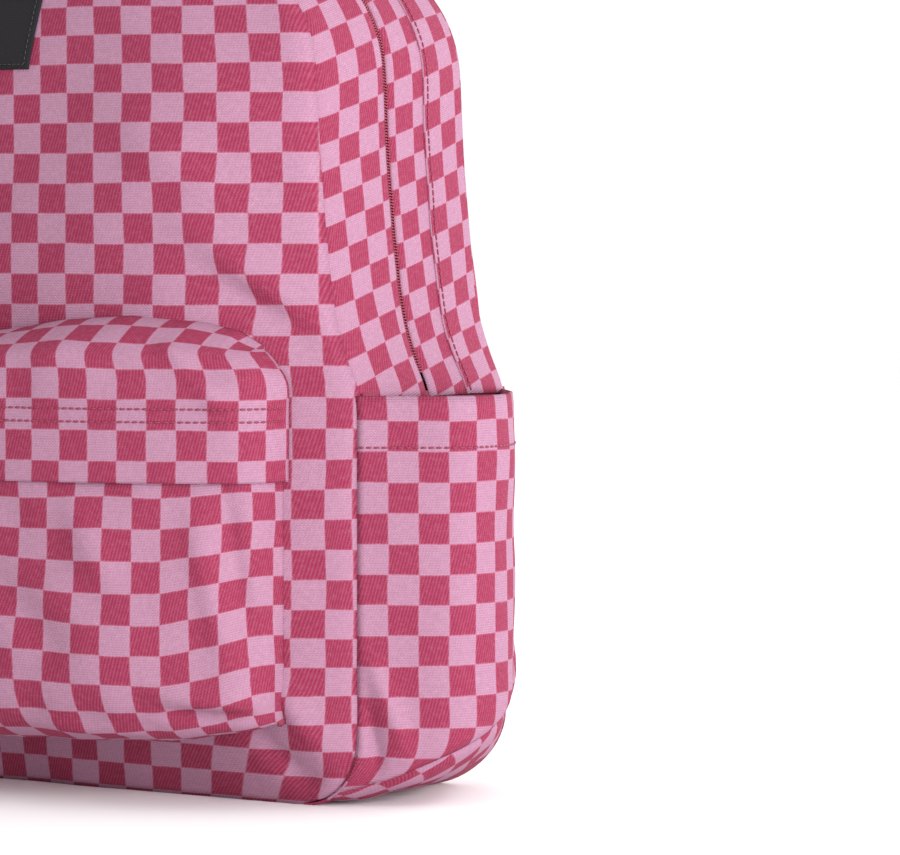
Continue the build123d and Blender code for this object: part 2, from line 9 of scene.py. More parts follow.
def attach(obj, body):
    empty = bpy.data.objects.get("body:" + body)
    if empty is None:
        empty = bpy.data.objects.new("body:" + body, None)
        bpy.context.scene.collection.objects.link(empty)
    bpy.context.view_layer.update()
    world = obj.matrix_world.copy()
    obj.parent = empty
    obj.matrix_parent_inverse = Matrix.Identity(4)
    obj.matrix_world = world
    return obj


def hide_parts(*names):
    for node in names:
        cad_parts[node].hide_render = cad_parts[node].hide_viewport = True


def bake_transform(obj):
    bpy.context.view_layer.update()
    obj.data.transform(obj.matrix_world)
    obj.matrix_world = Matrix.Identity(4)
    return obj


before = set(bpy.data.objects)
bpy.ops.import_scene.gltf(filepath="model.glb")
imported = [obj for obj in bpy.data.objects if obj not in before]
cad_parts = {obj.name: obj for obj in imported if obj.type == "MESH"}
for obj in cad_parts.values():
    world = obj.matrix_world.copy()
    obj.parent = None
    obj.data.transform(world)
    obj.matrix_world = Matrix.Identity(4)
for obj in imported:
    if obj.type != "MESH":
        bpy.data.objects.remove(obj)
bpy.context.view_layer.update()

# ---- Front panel -----------------------------------------------------------------------------
# One cut of printed polyester canvas, stuffed outwards by what is in the bag. It is sewn to the
# gusset all round, and is fixed in place here rather than folding with the lid above the front pocket.

MM = 0.001
CHECK = 13.2 * MM
HEIGHT = 408 * MM
HALF_BASE = 162 * MM
HALF_TOP = 138 * MM
HIP_Z = 178 * MM
SIDE_LINE = np.array([(162, 178), (154.4, 192), (149.2, 207), (146.2, 222), (142.8, 250), (139.8, 281)]) * MM
BASE_CORNER = 30 * MM
SHOULDER = 56 * MM
CROWN_ANGLE = radians(48)
FRONT_Y = -56 * MM
REAR_Y = 56 * MM
SLIT_Y = -7 * MM
TOPSTITCH_Y = 20 * MM
BULGE = 50 * MM
BULGE_POWER = 2.5
MIDDLE_Z = HEIGHT / 2
CROWN_R = SHOULDER + (HALF_TOP - SHOULDER) / sin(CROWN_ANGLE)
CROWN_Z = HEIGHT - CROWN_R
SHOULDER_X = HALF_TOP - SHOULDER
SHOULDER_Z = CROWN_Z + (CROWN_R - SHOULDER) * cos(CROWN_ANGLE)


class Wire:
    """A shader socket that takes arithmetic, so that maths on it adds its nodes."""

    def __init__(self, tree, socket):
        self.tree, self.socket = tree, socket

    def node(self, kind, settings=None, sockets=None, out=0):
        made = self.tree.nodes.new(kind)
        for key, value in (settings or {}).items():
            setattr(made, key, value)
        for key, value in (sockets or {}).items():
            if isinstance(value, Wire):
                self.tree.links.new(value.socket, made.inputs[key])
            else:
                made.inputs[key].default_value = value
        return Wire(self.tree, made.outputs[out])

    def maths(self, operation, *values):
        return self.node("ShaderNodeMath", {"operation": operation}, dict(enumerate(values)))

    def __add__(self, other):
        return self.maths("ADD", self, other)

    def __sub__(self, other):
        return self.maths("SUBTRACT", self, other)

    def __rsub__(self, other):
        return self.maths("SUBTRACT", other, self)

    def __mul__(self, other):
        return self.maths("MULTIPLY", self, other)

    def __truediv__(self, other):
        return self.maths("DIVIDE", self, other)

    __radd__ = __add__
    __rmul__ = __mul__

    def part(self, number):
        """One coordinate of a vector: 0, 1 or 2."""
        return self.node("ShaderNodeSeparateXYZ", None, {0: self}, number)

    def sine(self):
        return self.maths("SINE", self)

    def size(self):
        return self.maths("ABSOLUTE", self)

    def held(self, low, high):
        return self.node("ShaderNodeClamp", None, {0: self, 1: low, 2: high})


class Finish:
    """A material with its shader, its cloth's flat coordinates and its object coordinates."""

    def __init__(self, name, **fixed):
        self.material = bpy.data.materials.new(name)
        self.material.use_nodes = True
        self.tree = self.material.node_tree
        self.shader = next(n for n in self.tree.nodes if n.type == "BSDF_PRINCIPLED")
        self.start = Wire(self.tree, None)
        for key, value in fixed.items():
            self.shader.inputs[key.replace("_", " ")].default_value = value

    def feed(self, key, wire):
        self.tree.links.new(wire.socket, self.shader.inputs[key])

    def mix(self, first, second, share):
        """Blend one colour into another; each is a plain colour or a wire."""
        a, b = ((*c, 1.0) if isinstance(c, tuple) else c for c in (first, second))
        return self.start.node("ShaderNodeMix", {"data_type": "RGBA"}, {0: share, 6: a, 7: b}, 2)

    def flat(self):
        uv = self.start.node("ShaderNodeUVMap", {"uv_map": "cloth"})
        return uv, uv.part(0), uv.part(1)

    def place(self):
        return self.start.node("ShaderNodeTexCoord", None, None, 3)

    def noise(self, vector, scale, detail=2.0, rough=0.5):
        sockets = {"Vector": vector, "Scale": scale, "Detail": detail, "Roughness": rough}
        return self.start.node("ShaderNodeTexNoise", {"normalize": True}, sockets)

    def bump(self, height, depth, strength=1.0):
        sockets = {"Height": height, "Distance": depth, "Strength": strength}
        return self.start.node("ShaderNodeBump", None, sockets)


ROSE = (0.248, 0.021, 0.062)
LILAC = (0.362, 0.184, 0.274)
HALO = (0.440, 0.190, 0.270)
EDGE_SHARP = 26.0
THREAD = 1.05 * MM


def canvas_finish(name, rose, lilac):
    """Two-tone check on ribbed canvas: a crisp print with a pale halo, twill and uneven dye."""
    f = Finish(name, Roughness=0.86, Specular_IOR_Level=0.12)
    uv, u, v = f.flat()
    wobble = (f.noise(uv, 900.0) - 0.5) * (0.5 * MM)
    drift = (f.noise(uv, 22.0) - 0.5) * (2.0 * MM)
    wave_u = ((u + wobble + drift) * (pi / CHECK)).sine() * EDGE_SHARP
    wave_v = ((v + wobble - drift) * (pi / CHECK)).sine() * EDGE_SHARP
    square = wave_u.held(-1.0, 1.0) * wave_v.held(-1.0, 1.0) * 0.5 + 0.5
    near_u = 1.0 - (wave_u * 0.25).size().held(0.0, 1.0)
    near_v = 1.0 - (wave_v * 0.25).size().held(0.0, 1.0)
    halo = near_u.maths("MAXIMUM", near_u, near_v)
    rib = (v * (2 * pi / THREAD)).sine()
    twill = ((u * 0.9 + v) * (2 * pi / (THREAD * 1.25))).sine()
    speck = (rib * twill).held(0.0, 1.0)
    dye = f.noise(uv, 420.0, 3.0, 0.6)
    colour = f.mix(f.mix(rose, lilac, square), HALO, halo * 0.35)
    dark = tuple(part * 0.55 for part in rose)
    colour = f.mix(colour, dark, ((dye - 0.5) * 0.3 + rib * 0.10 + 0.09).held(0.0, 0.4))
    pale = (0.62, 0.40, 0.48)
    colour = f.mix(colour, pale, (speck * 0.18 + (0.5 - dye) * 0.2).held(0.0, 0.3))
    f.feed("Base Color", colour)
    f.feed("Roughness", 0.9 - dye * 0.12)
    f.feed("Normal", f.bump(rib * 0.6 + twill * 0.4 + dye * 0.5, 0.14 * MM, 0.5))
    return f.material


canvas = canvas_finish("check_canvas", ROSE, LILAC)


def woven_finish(name, light, dark, thread, rough=0.8, depth=0.12 * MM):
    """Plain woven cloth of one dye: threads over and under, with uneven dye."""
    f = Finish(name, Roughness=rough, Specular_IOR_Level=0.2)
    place = f.place()
    x, y, z = (place.part(k) for k in range(3))
    rate = 2 * pi / thread
    over = ((x + y) * rate).sine() * (z * rate).sine()
    dye = f.noise(place, 240.0, 3.0, 0.6)
    share = (over * 0.25 + dye * 0.6 + 0.1).held(0.0, 1.0)
    f.feed("Base Color", f.mix(dark, light, share))
    f.feed("Roughness", rough + 0.1 - dye * 0.2)
    f.feed("Normal", f.bump(over + dye * 0.6, depth, 0.5))
    return f.material


lining = woven_finish("lining", (0.30, 0.055, 0.095), (0.20, 0.030, 0.060), 0.9 * MM)


def at(*parts):
    """Points from their coordinates, each a single number, a row, a column or a whole grid."""
    return np.stack(np.broadcast_arrays(*parts), -1).astype(float)


def arc_points(centre, radius, start, turn, n):
    angles = np.linspace(start, start + turn, n)
    return at(centre[0] + radius * np.cos(angles), centre[1] + radius * np.sin(angles))


def run_along(path):
    """How far along a path each of its points lies."""
    return np.concatenate([[0], np.cumsum(np.linalg.norm(np.diff(path, axis=0), axis=1))])


def unit(vectors):
    return vectors / np.linalg.norm(vectors, axis=-1, keepdims=True)


def evenly(path, n):
    """The same path with n points at equal steps."""
    along = run_along(path)
    want = np.linspace(0, along[-1], n)
    return np.stack([np.interp(want, along, path[:, k]) for k in range(path.shape[1])], 1)


def softened(path, rounds):
    """Round the corners of a path, and keep its ends."""
    out = path.copy()
    for _ in range(rounds):
        out[1:-1] = (out[:-2] + 2 * out[1:-1] + out[2:]) / 4
    return out


def half_rim():
    """The right half of the bag's outline as (x, z), from the middle of the base to the top."""
    corner = arc_points((HALF_BASE - BASE_CORNER, BASE_CORNER), BASE_CORNER, -pi / 2, pi / 2, 12)
    turn = pi / 2 - CROWN_ANGLE
    shoulder = arc_points((SHOULDER_X, SHOULDER_Z), SHOULDER, 0, turn, 16)
    crown = arc_points((0, CROWN_Z), CROWN_R, turn, CROWN_ANGLE, 40)
    path = np.concatenate([[[0, 0]], corner, SIDE_LINE, shoulder, crown[1:]])
    return softened(evenly(path, 700), 50)


RIM = half_rim()
RIM_ANGLE = np.arctan2(RIM[:, 1] - MIDDLE_Z, RIM[:, 0])
RIM_REACH = np.hypot(RIM[:, 0], RIM[:, 1] - MIDDLE_Z)
RIM_SIDE = RIM[np.argmax(RIM[:, 1] > 0.2 * MM):]


def half_width(z):
    return np.interp(z, RIM_SIDE[:, 1], RIM_SIDE[:, 0])


def front_y(x, z):
    """Depth of the stuffed front panel."""
    rim = np.interp(np.arctan2(z - MIDDLE_Z, np.abs(x)), RIM_ANGLE, RIM_REACH)
    reach = np.hypot(x, z - MIDDLE_Z) / rim
    return FRONT_Y - BULGE * (1 - np.clip(reach, 0, 1) ** BULGE_POWER)


def normals_of(points):
    """Unit normals of a grid of points, on the side where rows x columns turns left."""
    across = np.cross(np.gradient(points, axis=0), np.gradient(points, axis=1))
    return across / np.maximum(np.linalg.norm(across, axis=2, keepdims=True), 1e-12)


def crumple(points, depth, grain, seed):
    """Smooth random unevenness of stuffed cloth, as a height for each point of a grid."""
    flat = points.reshape(-1, 3)
    offset = Vector((seed * 3.1, seed * 1.7, seed * 0.9))
    heights = [noise.noise(Vector(p) / grain + offset) for p in flat]
    return depth * np.array(heights).reshape(points.shape[:2])


def fold(a, b, start, end, depth, width):
    """A drag fold: a soft ridge along a line on the flat coordinates a, b, fading at both ends."""
    start, end = np.array(start), np.array(end)
    run = end - start
    length = np.linalg.norm(run)
    run = run / length
    da, db = a - start[0], b - start[1]
    along = (da * run[0] + db * run[1]) / length
    off = -da * run[1] + db * run[0]
    fade = np.clip(np.sin(pi * np.clip(along, 0, 1)), 0, 1)
    return depth * fade * np.exp(-((off / width) ** 2))


def folds(a, b, rows):
    """Several drag folds together; each row has a start, an end, a depth and a width."""
    return sum(fold(a, b, start, end, depth * MM, width * MM) for start, end, depth, width in rows)


def cloth(name, points, flat, thick=1.1 * MM, finish=None, inward=True):
    """A piece of cloth from a grid of points that faces outwards, with its flat cut in metres."""
    rows, cols = points.shape[:2]
    index = np.arange(rows * cols).reshape(rows, cols)
    quads = np.stack([index[:-1, :-1], index[1:, :-1], index[1:, 1:], index[:-1, 1:]], 2).reshape(-1, 4)
    mesh = bpy.data.meshes.new(name)
    mesh.from_pydata(points.reshape(-1, 3).tolist(), [], quads.tolist())
    layer = mesh.uv_layers.new(name="cloth")
    corners = np.zeros(len(mesh.loops), int)
    mesh.loops.foreach_get("vertex_index", corners)
    layer.data.foreach_set("uv", flat.reshape(-1, 2)[corners].ravel())
    return dress(name, mesh, thick, finish or canvas, inward)


def dress(name, mesh, thick, finish, inward=True):
    """Put a mesh into the scene: smooth, as thick as its cloth, and lined on the inside."""
    mesh.polygons.foreach_set("use_smooth", [True] * len(mesh.polygons))
    mesh.materials.append(finish)
    mesh.materials.append(lining)
    piece = bpy.data.objects.new(name, mesh)
    bpy.context.scene.collection.objects.link(piece)
    if thick:
        wall = piece.modifiers.new("wall", "SOLIDIFY")
        wall.thickness = thick
        wall.offset = -1.0 if inward else 1.0
        wall.use_rim = True
        wall.material_offset = 1
        settle(piece)
    return piece


def settle(piece):
    """Turn a piece's modifiers into its plain mesh."""
    done = bpy.data.meshes.new_from_object(piece.evaluated_get(bpy.context.evaluated_depsgraph_get()))
    piece.modifiers.clear()
    old, piece.data = piece.data, done
    done.name = piece.name
    bpy.data.meshes.remove(old)
    return piece


PANEL_STEP = 3 * MM
LABEL_Z = 337 * MM
SEAM_TUCK = 2.2 * MM
PANEL_TUCK = 3.6 * MM
GRAIN_LEAN = 0.7
PANEL_FOLDS = (
    ((0.085, 0.262), (0.150, 0.205), 4.2, 8),
    ((0.100, 0.232), (0.152, 0.196), -4.0, 6),
    ((0.060, 0.300), (0.138, 0.240), 2.8, 10),
    ((0.095, 0.330), (0.138, 0.300), -1.6, 9),
    ((0.128, 0.062), (0.158, 0.012), 4.0, 6),
    ((0.112, 0.040), (0.146, 0.004), -4.0, 6),
)


def panel_flat(x, z):
    """Flat coordinates of the front panel's cloth, whose grain was cut leaning a little to one side."""
    lean = (front_y(x, z) - front_y(x, MIDDLE_Z)) * GRAIN_LEAN
    xs = np.linspace(-0.2, 0.2, 401)
    u = run_along(at(xs, front_y(xs, MIDDLE_Z)))
    zs = np.linspace(0, HEIGHT, 401)
    v = run_along(at(zs, front_y(0 * zs, zs)))
    return at(np.interp(x + lean, xs, u - u[200]), np.interp(z, zs, v - v[200]))


def front_panel_grid():
    rise = np.linspace(0, 1, int(HEIGHT / PANEL_STEP) + 12)
    z = HEIGHT * (1 - (1 - rise) ** 1.25)
    t = np.linspace(-1, 1, 2 * int(HALF_BASE / PANEL_STEP) + 1)
    wide = half_width(z)
    x = t[None, :] * wide[:, None]
    zz = np.broadcast_to(z[:, None], x.shape)
    points = at(x, front_y(x, zz), zz)
    flat = panel_flat(x, zz)
    edge = (1 - np.abs(t))[None, :] * wide[:, None]
    push = crumple(points, 2.2 * MM, 62 * MM, 1) + crumple(points, 0.9 * MM, 24 * MM, 2)
    push += folds(-x, zz, PANEL_FOLDS) + folds(x, zz, PANEL_FOLDS)
    push *= np.clip(edge / (14 * MM), 0, 1)
    push *= 1 - 0.9 * np.exp(-((x / (30 * MM)) ** 4) - ((zz - LABEL_Z) / (26 * MM)) ** 4)
    points[..., 1] -= push
    tuck = PANEL_TUCK * np.exp(-((edge / (2.2 * MM)) ** 2))
    points[..., 1] += tuck
    return points, flat


points, flat = front_panel_grid()
PANEL_STRETCH = np.array((0.91, 1.0))
PHASE_PANEL = np.array((0.0165, 0.0))
flat = flat * PANEL_STRETCH
front_panel = cloth("front_panel_cloth", points[::-1], flat[::-1] + PHASE_PANEL)
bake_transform(front_panel)
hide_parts("front_panel_lower", "front_panel_upper")

# ---- Gusset ----------------------------------------------------------------------------------
# Strips of the same canvas run from one side pocket over the top to the other. The front strip and
# the rear lip fold back over the zip, and the rear gusset is turned in and topstitched onto the lip.

GUSSET_BULGE = 4.5 * MM
SLIT = 2.2 * MM
SEAM_IN = 2 * MM
STRIP_SKEW = 0.30
STRIP_STRETCH = 1.12


def rim_between(z_low, step):
    """The outline from the right side over the top to the left: points, normals and length."""
    half = RIM[RIM[:, 1] >= z_low]
    half = np.concatenate([[[half_width(z_low), z_low]], half[half[:, 0] >= 0]])
    left = half[::-1][1:] * (-1, 1)
    path = np.concatenate([half, left])
    length = run_along(path)[-1]
    path = evenly(path, int(length / step) + 1)
    slope = unit(np.gradient(path, axis=0))
    return path, at(slope[:, 1], -slope[:, 0]), length


def gusset_bulge(y):
    return GUSSET_BULGE * (1 - (y / REAR_Y) ** 2)


def strip_grid(y_low, y_high, z_low, lift, roll_low, roll_high, seed, step=3 * MM):
    """A strip of gusset between two depths; its long edges roll in by roll_low and roll_high."""
    path, out, length = rim_between(z_low, step)
    n = int((y_high - y_low) / (1.8 * MM)) + 2
    y = np.linspace(y_low, y_high, n)
    base = at(path[:, :1], y, path[:, 1:])
    normal = at(out[:, :1], 0, out[:, 1:])
    calm = np.clip(np.abs(y - SLIT_Y) / (22 * MM), 0.15, 1)[None, :]
    height = gusset_bulge(y)[None, :] + lift + crumple(base, 1.6 * MM, 40 * MM, seed) * calm
    height -= roll_low * np.exp(-(((y - y_low) / (2.0 * MM)) ** 2))[None, :]
    height -= roll_high * np.exp(-(((y_high - y) / (2.0 * MM)) ** 2))[None, :]
    points = base + normal * height[..., None]
    along = np.linspace(-length / 2, length / 2, len(path))
    skew = STRIP_SKEW * np.sign(-along) * np.clip(np.abs(along) / (60 * MM), 0, 1)
    return points, at(y, STRIP_STRETCH * along[:, None] - skew[:, None] * y)


STRIPS = (
    ("front_gusset_cloth", FRONT_Y + SEAM_IN, SLIT_Y - SLIT / 2, 0.0, SEAM_TUCK, 1.2 * MM,
     ("front_gusset", "front_gusset_foot_left", "front_gusset_foot_right"), (0.001, -0.0051)),
    ("zip_lip_cloth", SLIT_Y + SLIT / 2, TOPSTITCH_Y + 3 * MM, 0.0, 1.2 * MM, 0.6 * MM,
     ("zip_lip_rear",), (0.002, 0.0045)),
    ("rear_gusset_cloth", TOPSTITCH_Y, REAR_Y + 1 * MM, 1.0 * MM, 0.4 * MM, SEAM_TUCK,
     ("rear_gusset",), (0.006, 0.009)),
)
for number, (name, y_low, y_high, lift, roll_low, roll_high, nodes, phase) in enumerate(STRIPS):
    points, flat = strip_grid(y_low, y_high, HIP_Z - 2 * MM, lift, roll_low, roll_high, 5)
    strip = cloth(name, points[::-1], flat[::-1] + phase)
    if number == 0:
        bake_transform(strip)
    else:
        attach(strip, "bag")
    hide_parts(*nodes)

# ---- Side panels and base --------------------------------------------------------------------
# The full-depth side panels carry on down from the gusset, and the base closes the bag below. Its
# rear corners are softer than the front ones, because nothing stiff fills them.

REAR_SOFT = 12 * MM
REAR_SOFT_Z = 36 * MM


def rear_pull(z):
    """How far the rear of the bag's foot is drawn in at a height."""
    return REAR_SOFT * np.clip(1 - z / REAR_SOFT_Z, 0, 1) ** 2


def squeeze(points):
    """Draw the rear lower corners of a grid forwards and inwards."""
    back = np.clip((points[..., 1] + 20 * MM) / (REAR_Y + 20 * MM), 0, 1) ** 1.5
    pull = rear_pull(points[..., 2]) * back
    points[..., 1] -= pull
    points[..., 0] *= 1 - 0.35 * pull / HALF_BASE * np.clip(np.abs(points[..., 0]) / HALF_BASE, 0, 1)
    return points


for side, name in ((-1, "left"), (1, "right")):
    y = np.linspace(FRONT_Y + 2 * SEAM_IN, REAR_Y, 50)
    z = np.linspace(26 * MM, HIP_Z + 1 * MM, 60)
    yy, zz = np.meshgrid(y, z)
    x = side * (half_width(zz) + gusset_bulge(yy) * 0.4)
    points, flat = squeeze(at(x, yy, zz)), at(yy, zz)
    if side > 0:
        points, flat = points[::-1], flat[::-1]
    panel = cloth(f"side_panel_cloth_{name}", points[::-1], flat[::-1])
    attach(panel, "bag")
    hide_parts(f"side_panel_{name}")

low = RIM[RIM[:, 1] <= 31 * MM]
low = evenly(np.concatenate([low[::-1] * (-1, 1), low[1:]]), 130)
y = np.linspace(FRONT_Y + 0.5 * SEAM_IN, REAR_Y, 48)
length = run_along(low)[-1]
along = np.linspace(-length / 2, length / 2, len(low))
points = at(low[:, :1], y, low[:, 1:] + 0.3 * MM)
flat = at(along[:, None], y)
base = cloth("base_cloth", squeeze(points), flat)
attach(base, "bag")
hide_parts("base_panel")

# ---- Side pockets ----------------------------------------------------------------------------
# A wide piece of canvas stretched round the side of the bag, with its hem turned in over elastic.
# Its foot is sewn on a slant that rises to the rear, and the cloth below that seam turns under.

HEM_H = 22 * MM
POUCH_FRONT = [(0, -56), (16, -44.8), (32.4, -33.3), (39, -22), (40.2, -9)]
POUCH_REAR = [(37.4, 4), (31.8, 16), (20, 34), (0, 56)]
POUCH_PLAN = np.array(POUCH_FRONT + POUCH_REAR) * MM
FOOT_AT = np.array([0, 18, 43, 62, 80, 144]) * MM
FOOT_Z = np.array([5, 11, 23, 31, 37, 40]) * MM
POUCH_COLUMNS = 86
POUCH_TUCK = 1.5 * MM


def curve_through(points, n):
    """A smooth path through a few points (Catmull-Rom), evenly spaced."""
    p = np.concatenate([[2 * points[0] - points[1]], points, [2 * points[-1] - points[-2]]])
    out = []
    for k in range(1, len(p) - 2):
        t = np.linspace(0, 1, 24, endpoint=False)[:, None]
        a, b, c, d = p[k - 1], p[k], p[k + 1], p[k + 2]
        bend, twist = 2 * a - 5 * b + 4 * c - d, 3 * b - a - 3 * c + d
        out.append(0.5 * (2 * b + (c - a) * t + bend * t**2 + twist * t**3))
    return evenly(np.concatenate(out + [points[-1:]]), n)


pouch_plan = curve_through(POUCH_PLAN, POUCH_COLUMNS)
pouch_length = run_along(pouch_plan)[-1]
pouch_u = np.linspace(0, pouch_length, POUCH_COLUMNS)
POUCH_FOLDS = (
    ((0.003, -0.108), (0.024, -0.160), 3.4, 4.5),
    ((0.000, -0.126), (0.015, -0.172), -3.4, 3.2),
    ((0.020, -0.158), (0.100, -0.130), 1.6, 5),
    ((pouch_length - 0.004, -0.100), (pouch_length - 0.03, -0.140), 2.2, 5),
)
foot_z = np.pad(np.interp(pouch_u, FOOT_AT, FOOT_Z), 5, mode="edge")
foot_z = np.convolve(foot_z, np.ones(11) / 11, "valid")


def pouch_at(z, share, inset=0.0):
    """Points of the pouch's skin for a grid of heights and shares of its full bulge."""
    turn = unit(np.gradient(pouch_plan, axis=0))
    x = half_width(np.maximum(z, 2 * MM)) + pouch_plan[None, :, 0] * share - turn[None, :, 1] * inset
    y = pouch_plan[None, :, 1] * np.ones_like(z) + turn[None, :, 0] * inset
    points = at(x, y, z)
    rear = np.clip(points[..., 1:2] / REAR_Y, 0, 1) ** 3
    points = points * (1 - rear) + squeeze(points.copy()) * rear
    for column, tuck in ((0, POUCH_TUCK), (-1, -POUCH_TUCK)):
        points[:, column] += (-1.3 * abs(tuck), tuck, 0)
    return points


def pouch_wall():
    r = np.linspace(0, 1, 64) ** 0.85
    z = HIP_Z + (foot_z[None, :] - HIP_Z) * r[:, None]
    near = np.clip(1 - (z - foot_z[None, :]) / (16 * MM), 0, 1)
    points = pouch_at(z, 1 - 0.14 * near**2)
    u = np.tile(pouch_u, (len(r), 1))
    v = z - HIP_Z
    push = crumple(points, 1.2 * MM, 36 * MM, 7)
    push += folds(u, v, POUCH_FOLDS)
    push *= np.clip(np.minimum(u, pouch_length - u) / (6 * MM), 0, 1) * np.clip(-v / (20 * MM), 0, 1)
    return points + normals_of(points) * push[..., None], at(u, v)


def pouch_under(wall):
    """The cloth below the pouch's foot seam, turned in under the bag."""
    start = wall[-1]
    end_y, knee_y = np.minimum(start[:, 1] * 0.86, 34 * MM), np.minimum(start[:, 1] * 0.96, 44 * MM)
    end = at(HALF_BASE - 26 * MM, end_y, 0.9 * MM)
    knee = at(start[:, 0] - 5 * MM, knee_y, np.minimum(start[:, 2] * 0.30, 9 * MM))
    t = np.linspace(0, 1, 18)[:, None, None]
    points = start * (1 - t) ** 2 + knee * 2 * t * (1 - t) + end * t**2
    points[0] -= (0.8 * MM, 0, -0.4 * MM)
    push = crumple(points, 2.4 * MM, 22 * MM, 9) * np.sin(pi * t[..., 0] * 0.9)
    points = points + normals_of(points) * push[..., None]
    points[..., 2] = np.maximum(points[..., 2], 0.6 * MM)
    down = np.concatenate([[0], np.cumsum(np.linalg.norm(np.diff(points, axis=0), axis=2).mean(1))])
    u, v = np.tile(pouch_u, (18, 1)), np.repeat(-down[:, None], POUCH_COLUMNS, 1)
    turn = radians(30)
    return points, at(u * cos(turn) + v * sin(turn), v * cos(turn) - u * sin(turn))


def pouch_hem(wall):
    """The hem's inner layer: down from the pouch's edge on the inside."""
    z = HIP_Z - 0.4 * MM - np.linspace(0, 1, 9)[:, None] * HEM_H * np.ones(POUCH_COLUMNS)
    points = pouch_at(z, np.ones_like(z), 2.2 * MM)
    points[0] = wall[0] - (0, 0, 0.3 * MM)
    return points, at(pouch_u, HIP_Z - z)


wall, wall_flat = pouch_wall()
PHASE_POUCH = np.array((0.0, -0.0026))
for side, name in ((-1, "left"), (1, "right")):
    for piece_name, (grid, cut), nodes in (
        (f"side_pocket_cloth_{name}", (wall, wall_flat), (f"side_pocket_{name}",)),
        (f"side_pocket_foot_cloth_{name}", pouch_under(wall), ()),
        (f"side_pocket_hem_cloth_{name}", pouch_hem(wall),
         (f"side_pocket_hem_{name}", f"hem_elastic_{name}")),
    ):
        if side < 0:
            grid, cut = (grid * (-1, 1, 1))[:, ::-1], cut[:, ::-1]
        piece = cloth(piece_name, grid, cut + PHASE_POUCH)
        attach(piece, "bag")
        if nodes:
            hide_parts(*nodes)

# ---- Front pocket ----------------------------------------------------------------------------
# A boxed pouch in three parts: the top, whose cloth carries on down as the flap over the zip, the
# front with its gathered foot, and a zip on two tapes behind the flap.

POCKET_FRONT_Y = -138 * MM
POCKET_HALF = 136 * MM
POCKET_CORNER = 24 * MM
POCKET_TURN = radians(32)
POCKET_EDGE_Z = 197 * MM
FLAP_TOP_Z = 172 * MM
FLAP_LOW_Z = 141.5 * MM
FOOT_ROUND = 26 * MM
POCKET_SHOULDER = 0.055
POCKET_END_X = POCKET_HALF - POCKET_CORNER * (1 - sin(POCKET_TURN))
POCKET_R = POCKET_END_X / sin(POCKET_TURN)
POCKET_CENTRE_Y = POCKET_FRONT_Y + POCKET_R
CORNER_Y = POCKET_CENTRE_Y - (POCKET_R - POCKET_CORNER) * cos(POCKET_TURN)
JOIN_X = np.array([0, 20, 43, 78, 110, 126, 136]) * MM
JOIN_Z = np.array([205, 207, 210.5, 212.5, 210, 206, 199.5]) * MM
HEEL_X = np.array([0, 60, 100, 120, 136]) * MM
HEEL_Z = np.array([29.5, 27.5, 28, 32, 37]) * MM
FACE_FOLDS = (
    ((0.118, -0.030), (0.136, -0.116), 3.2, 6),
    ((0.132, -0.020), (0.148, -0.110), -3.4, 5),
    ((0.094, -0.112), (0.150, -0.130), 4.4, 4.2),
    ((0.100, -0.123), (0.150, -0.140), -4.2, 3.6),
    ((0.030, -0.132), (0.100, -0.140), 2.6, 5),
)
RIGHT_FOLDS = (
    ((0.062, -0.030), (0.090, -0.080), 2.8, 8),
    ((0.020, -0.060), (0.064, -0.100), -2.4, 9),
)
TOP_FOLDS = (
    ((0.096, -0.030), (0.150, -0.048), -2.2, 4),
    ((0.104, -0.020), (0.146, -0.074), 2.0, 5),
)


def pocket_outline(n):
    """The pocket's plan from its left seam round the front to its right seam, as (x, y)."""
    front = arc_points((0, POCKET_CENTRE_Y), POCKET_R, -pi / 2, POCKET_TURN, 40)
    centre = (POCKET_HALF - POCKET_CORNER, CORNER_Y)
    corner = arc_points(centre, POCKET_CORNER, POCKET_TURN - pi / 2, pi / 2 - POCKET_TURN, 16)
    seam_y = front_y(np.array(POCKET_HALF), np.array(MIDDLE_Z / 2))
    half = np.concatenate([front, corner[1:], [[POCKET_HALF, seam_y]]])
    half = softened(evenly(half, 300), 30)
    return evenly(np.concatenate([half[::-1] * (-1, 1), half[1:]]), n)


pocket_plan = pocket_outline(151)
plan_turn = unit(np.gradient(pocket_plan, axis=0))
plan_out = at(plan_turn[:, 1], -plan_turn[:, 0])


def pocket_points(z, proud, outset):
    """Points of the pocket's wall: proud is 0 on the front panel and 1 on the pocket's plan."""
    ends = 1 - POCKET_SHOULDER * np.clip((z - 182 * MM) / (15 * MM), 0, 1) ** 2
    x = (pocket_plan[None, :, 0] + plan_out[None, :, 0] * outset) * ends
    y = pocket_plan[None, :, 1] + plan_out[None, :, 1] * outset
    root_x = pocket_plan[None, :, 0] * 0.985 * ends
    root_y = front_y(root_x, z) - 0.8 * MM
    return at(root_x + (x - root_x) * proud, root_y + (y - root_y) * proud, z)


def cut_of(points):
    """Flat coordinates of a grid that is wider than it is tall: lengths across and down its middle."""
    middle = points.shape[1] // 2
    step_u = np.linalg.norm(np.diff(points, axis=1), axis=2)
    row = int(np.argmax(step_u.sum(1)))
    u = np.concatenate([[0], np.cumsum(step_u[row])])
    u -= u[middle]
    v = run_along(points[:, middle])
    return np.stack(np.meshgrid(u, -v), 2)


def relax(points, rows, rounds):
    """Soften the turn between the given rows of a grid."""
    above, below = (slice(rows.start + k, rows.stop + k) for k in (-1, 1))
    for _ in range(rounds):
        points[rows] = (points[above] + 2 * points[rows] + points[below]) / 4
    return points


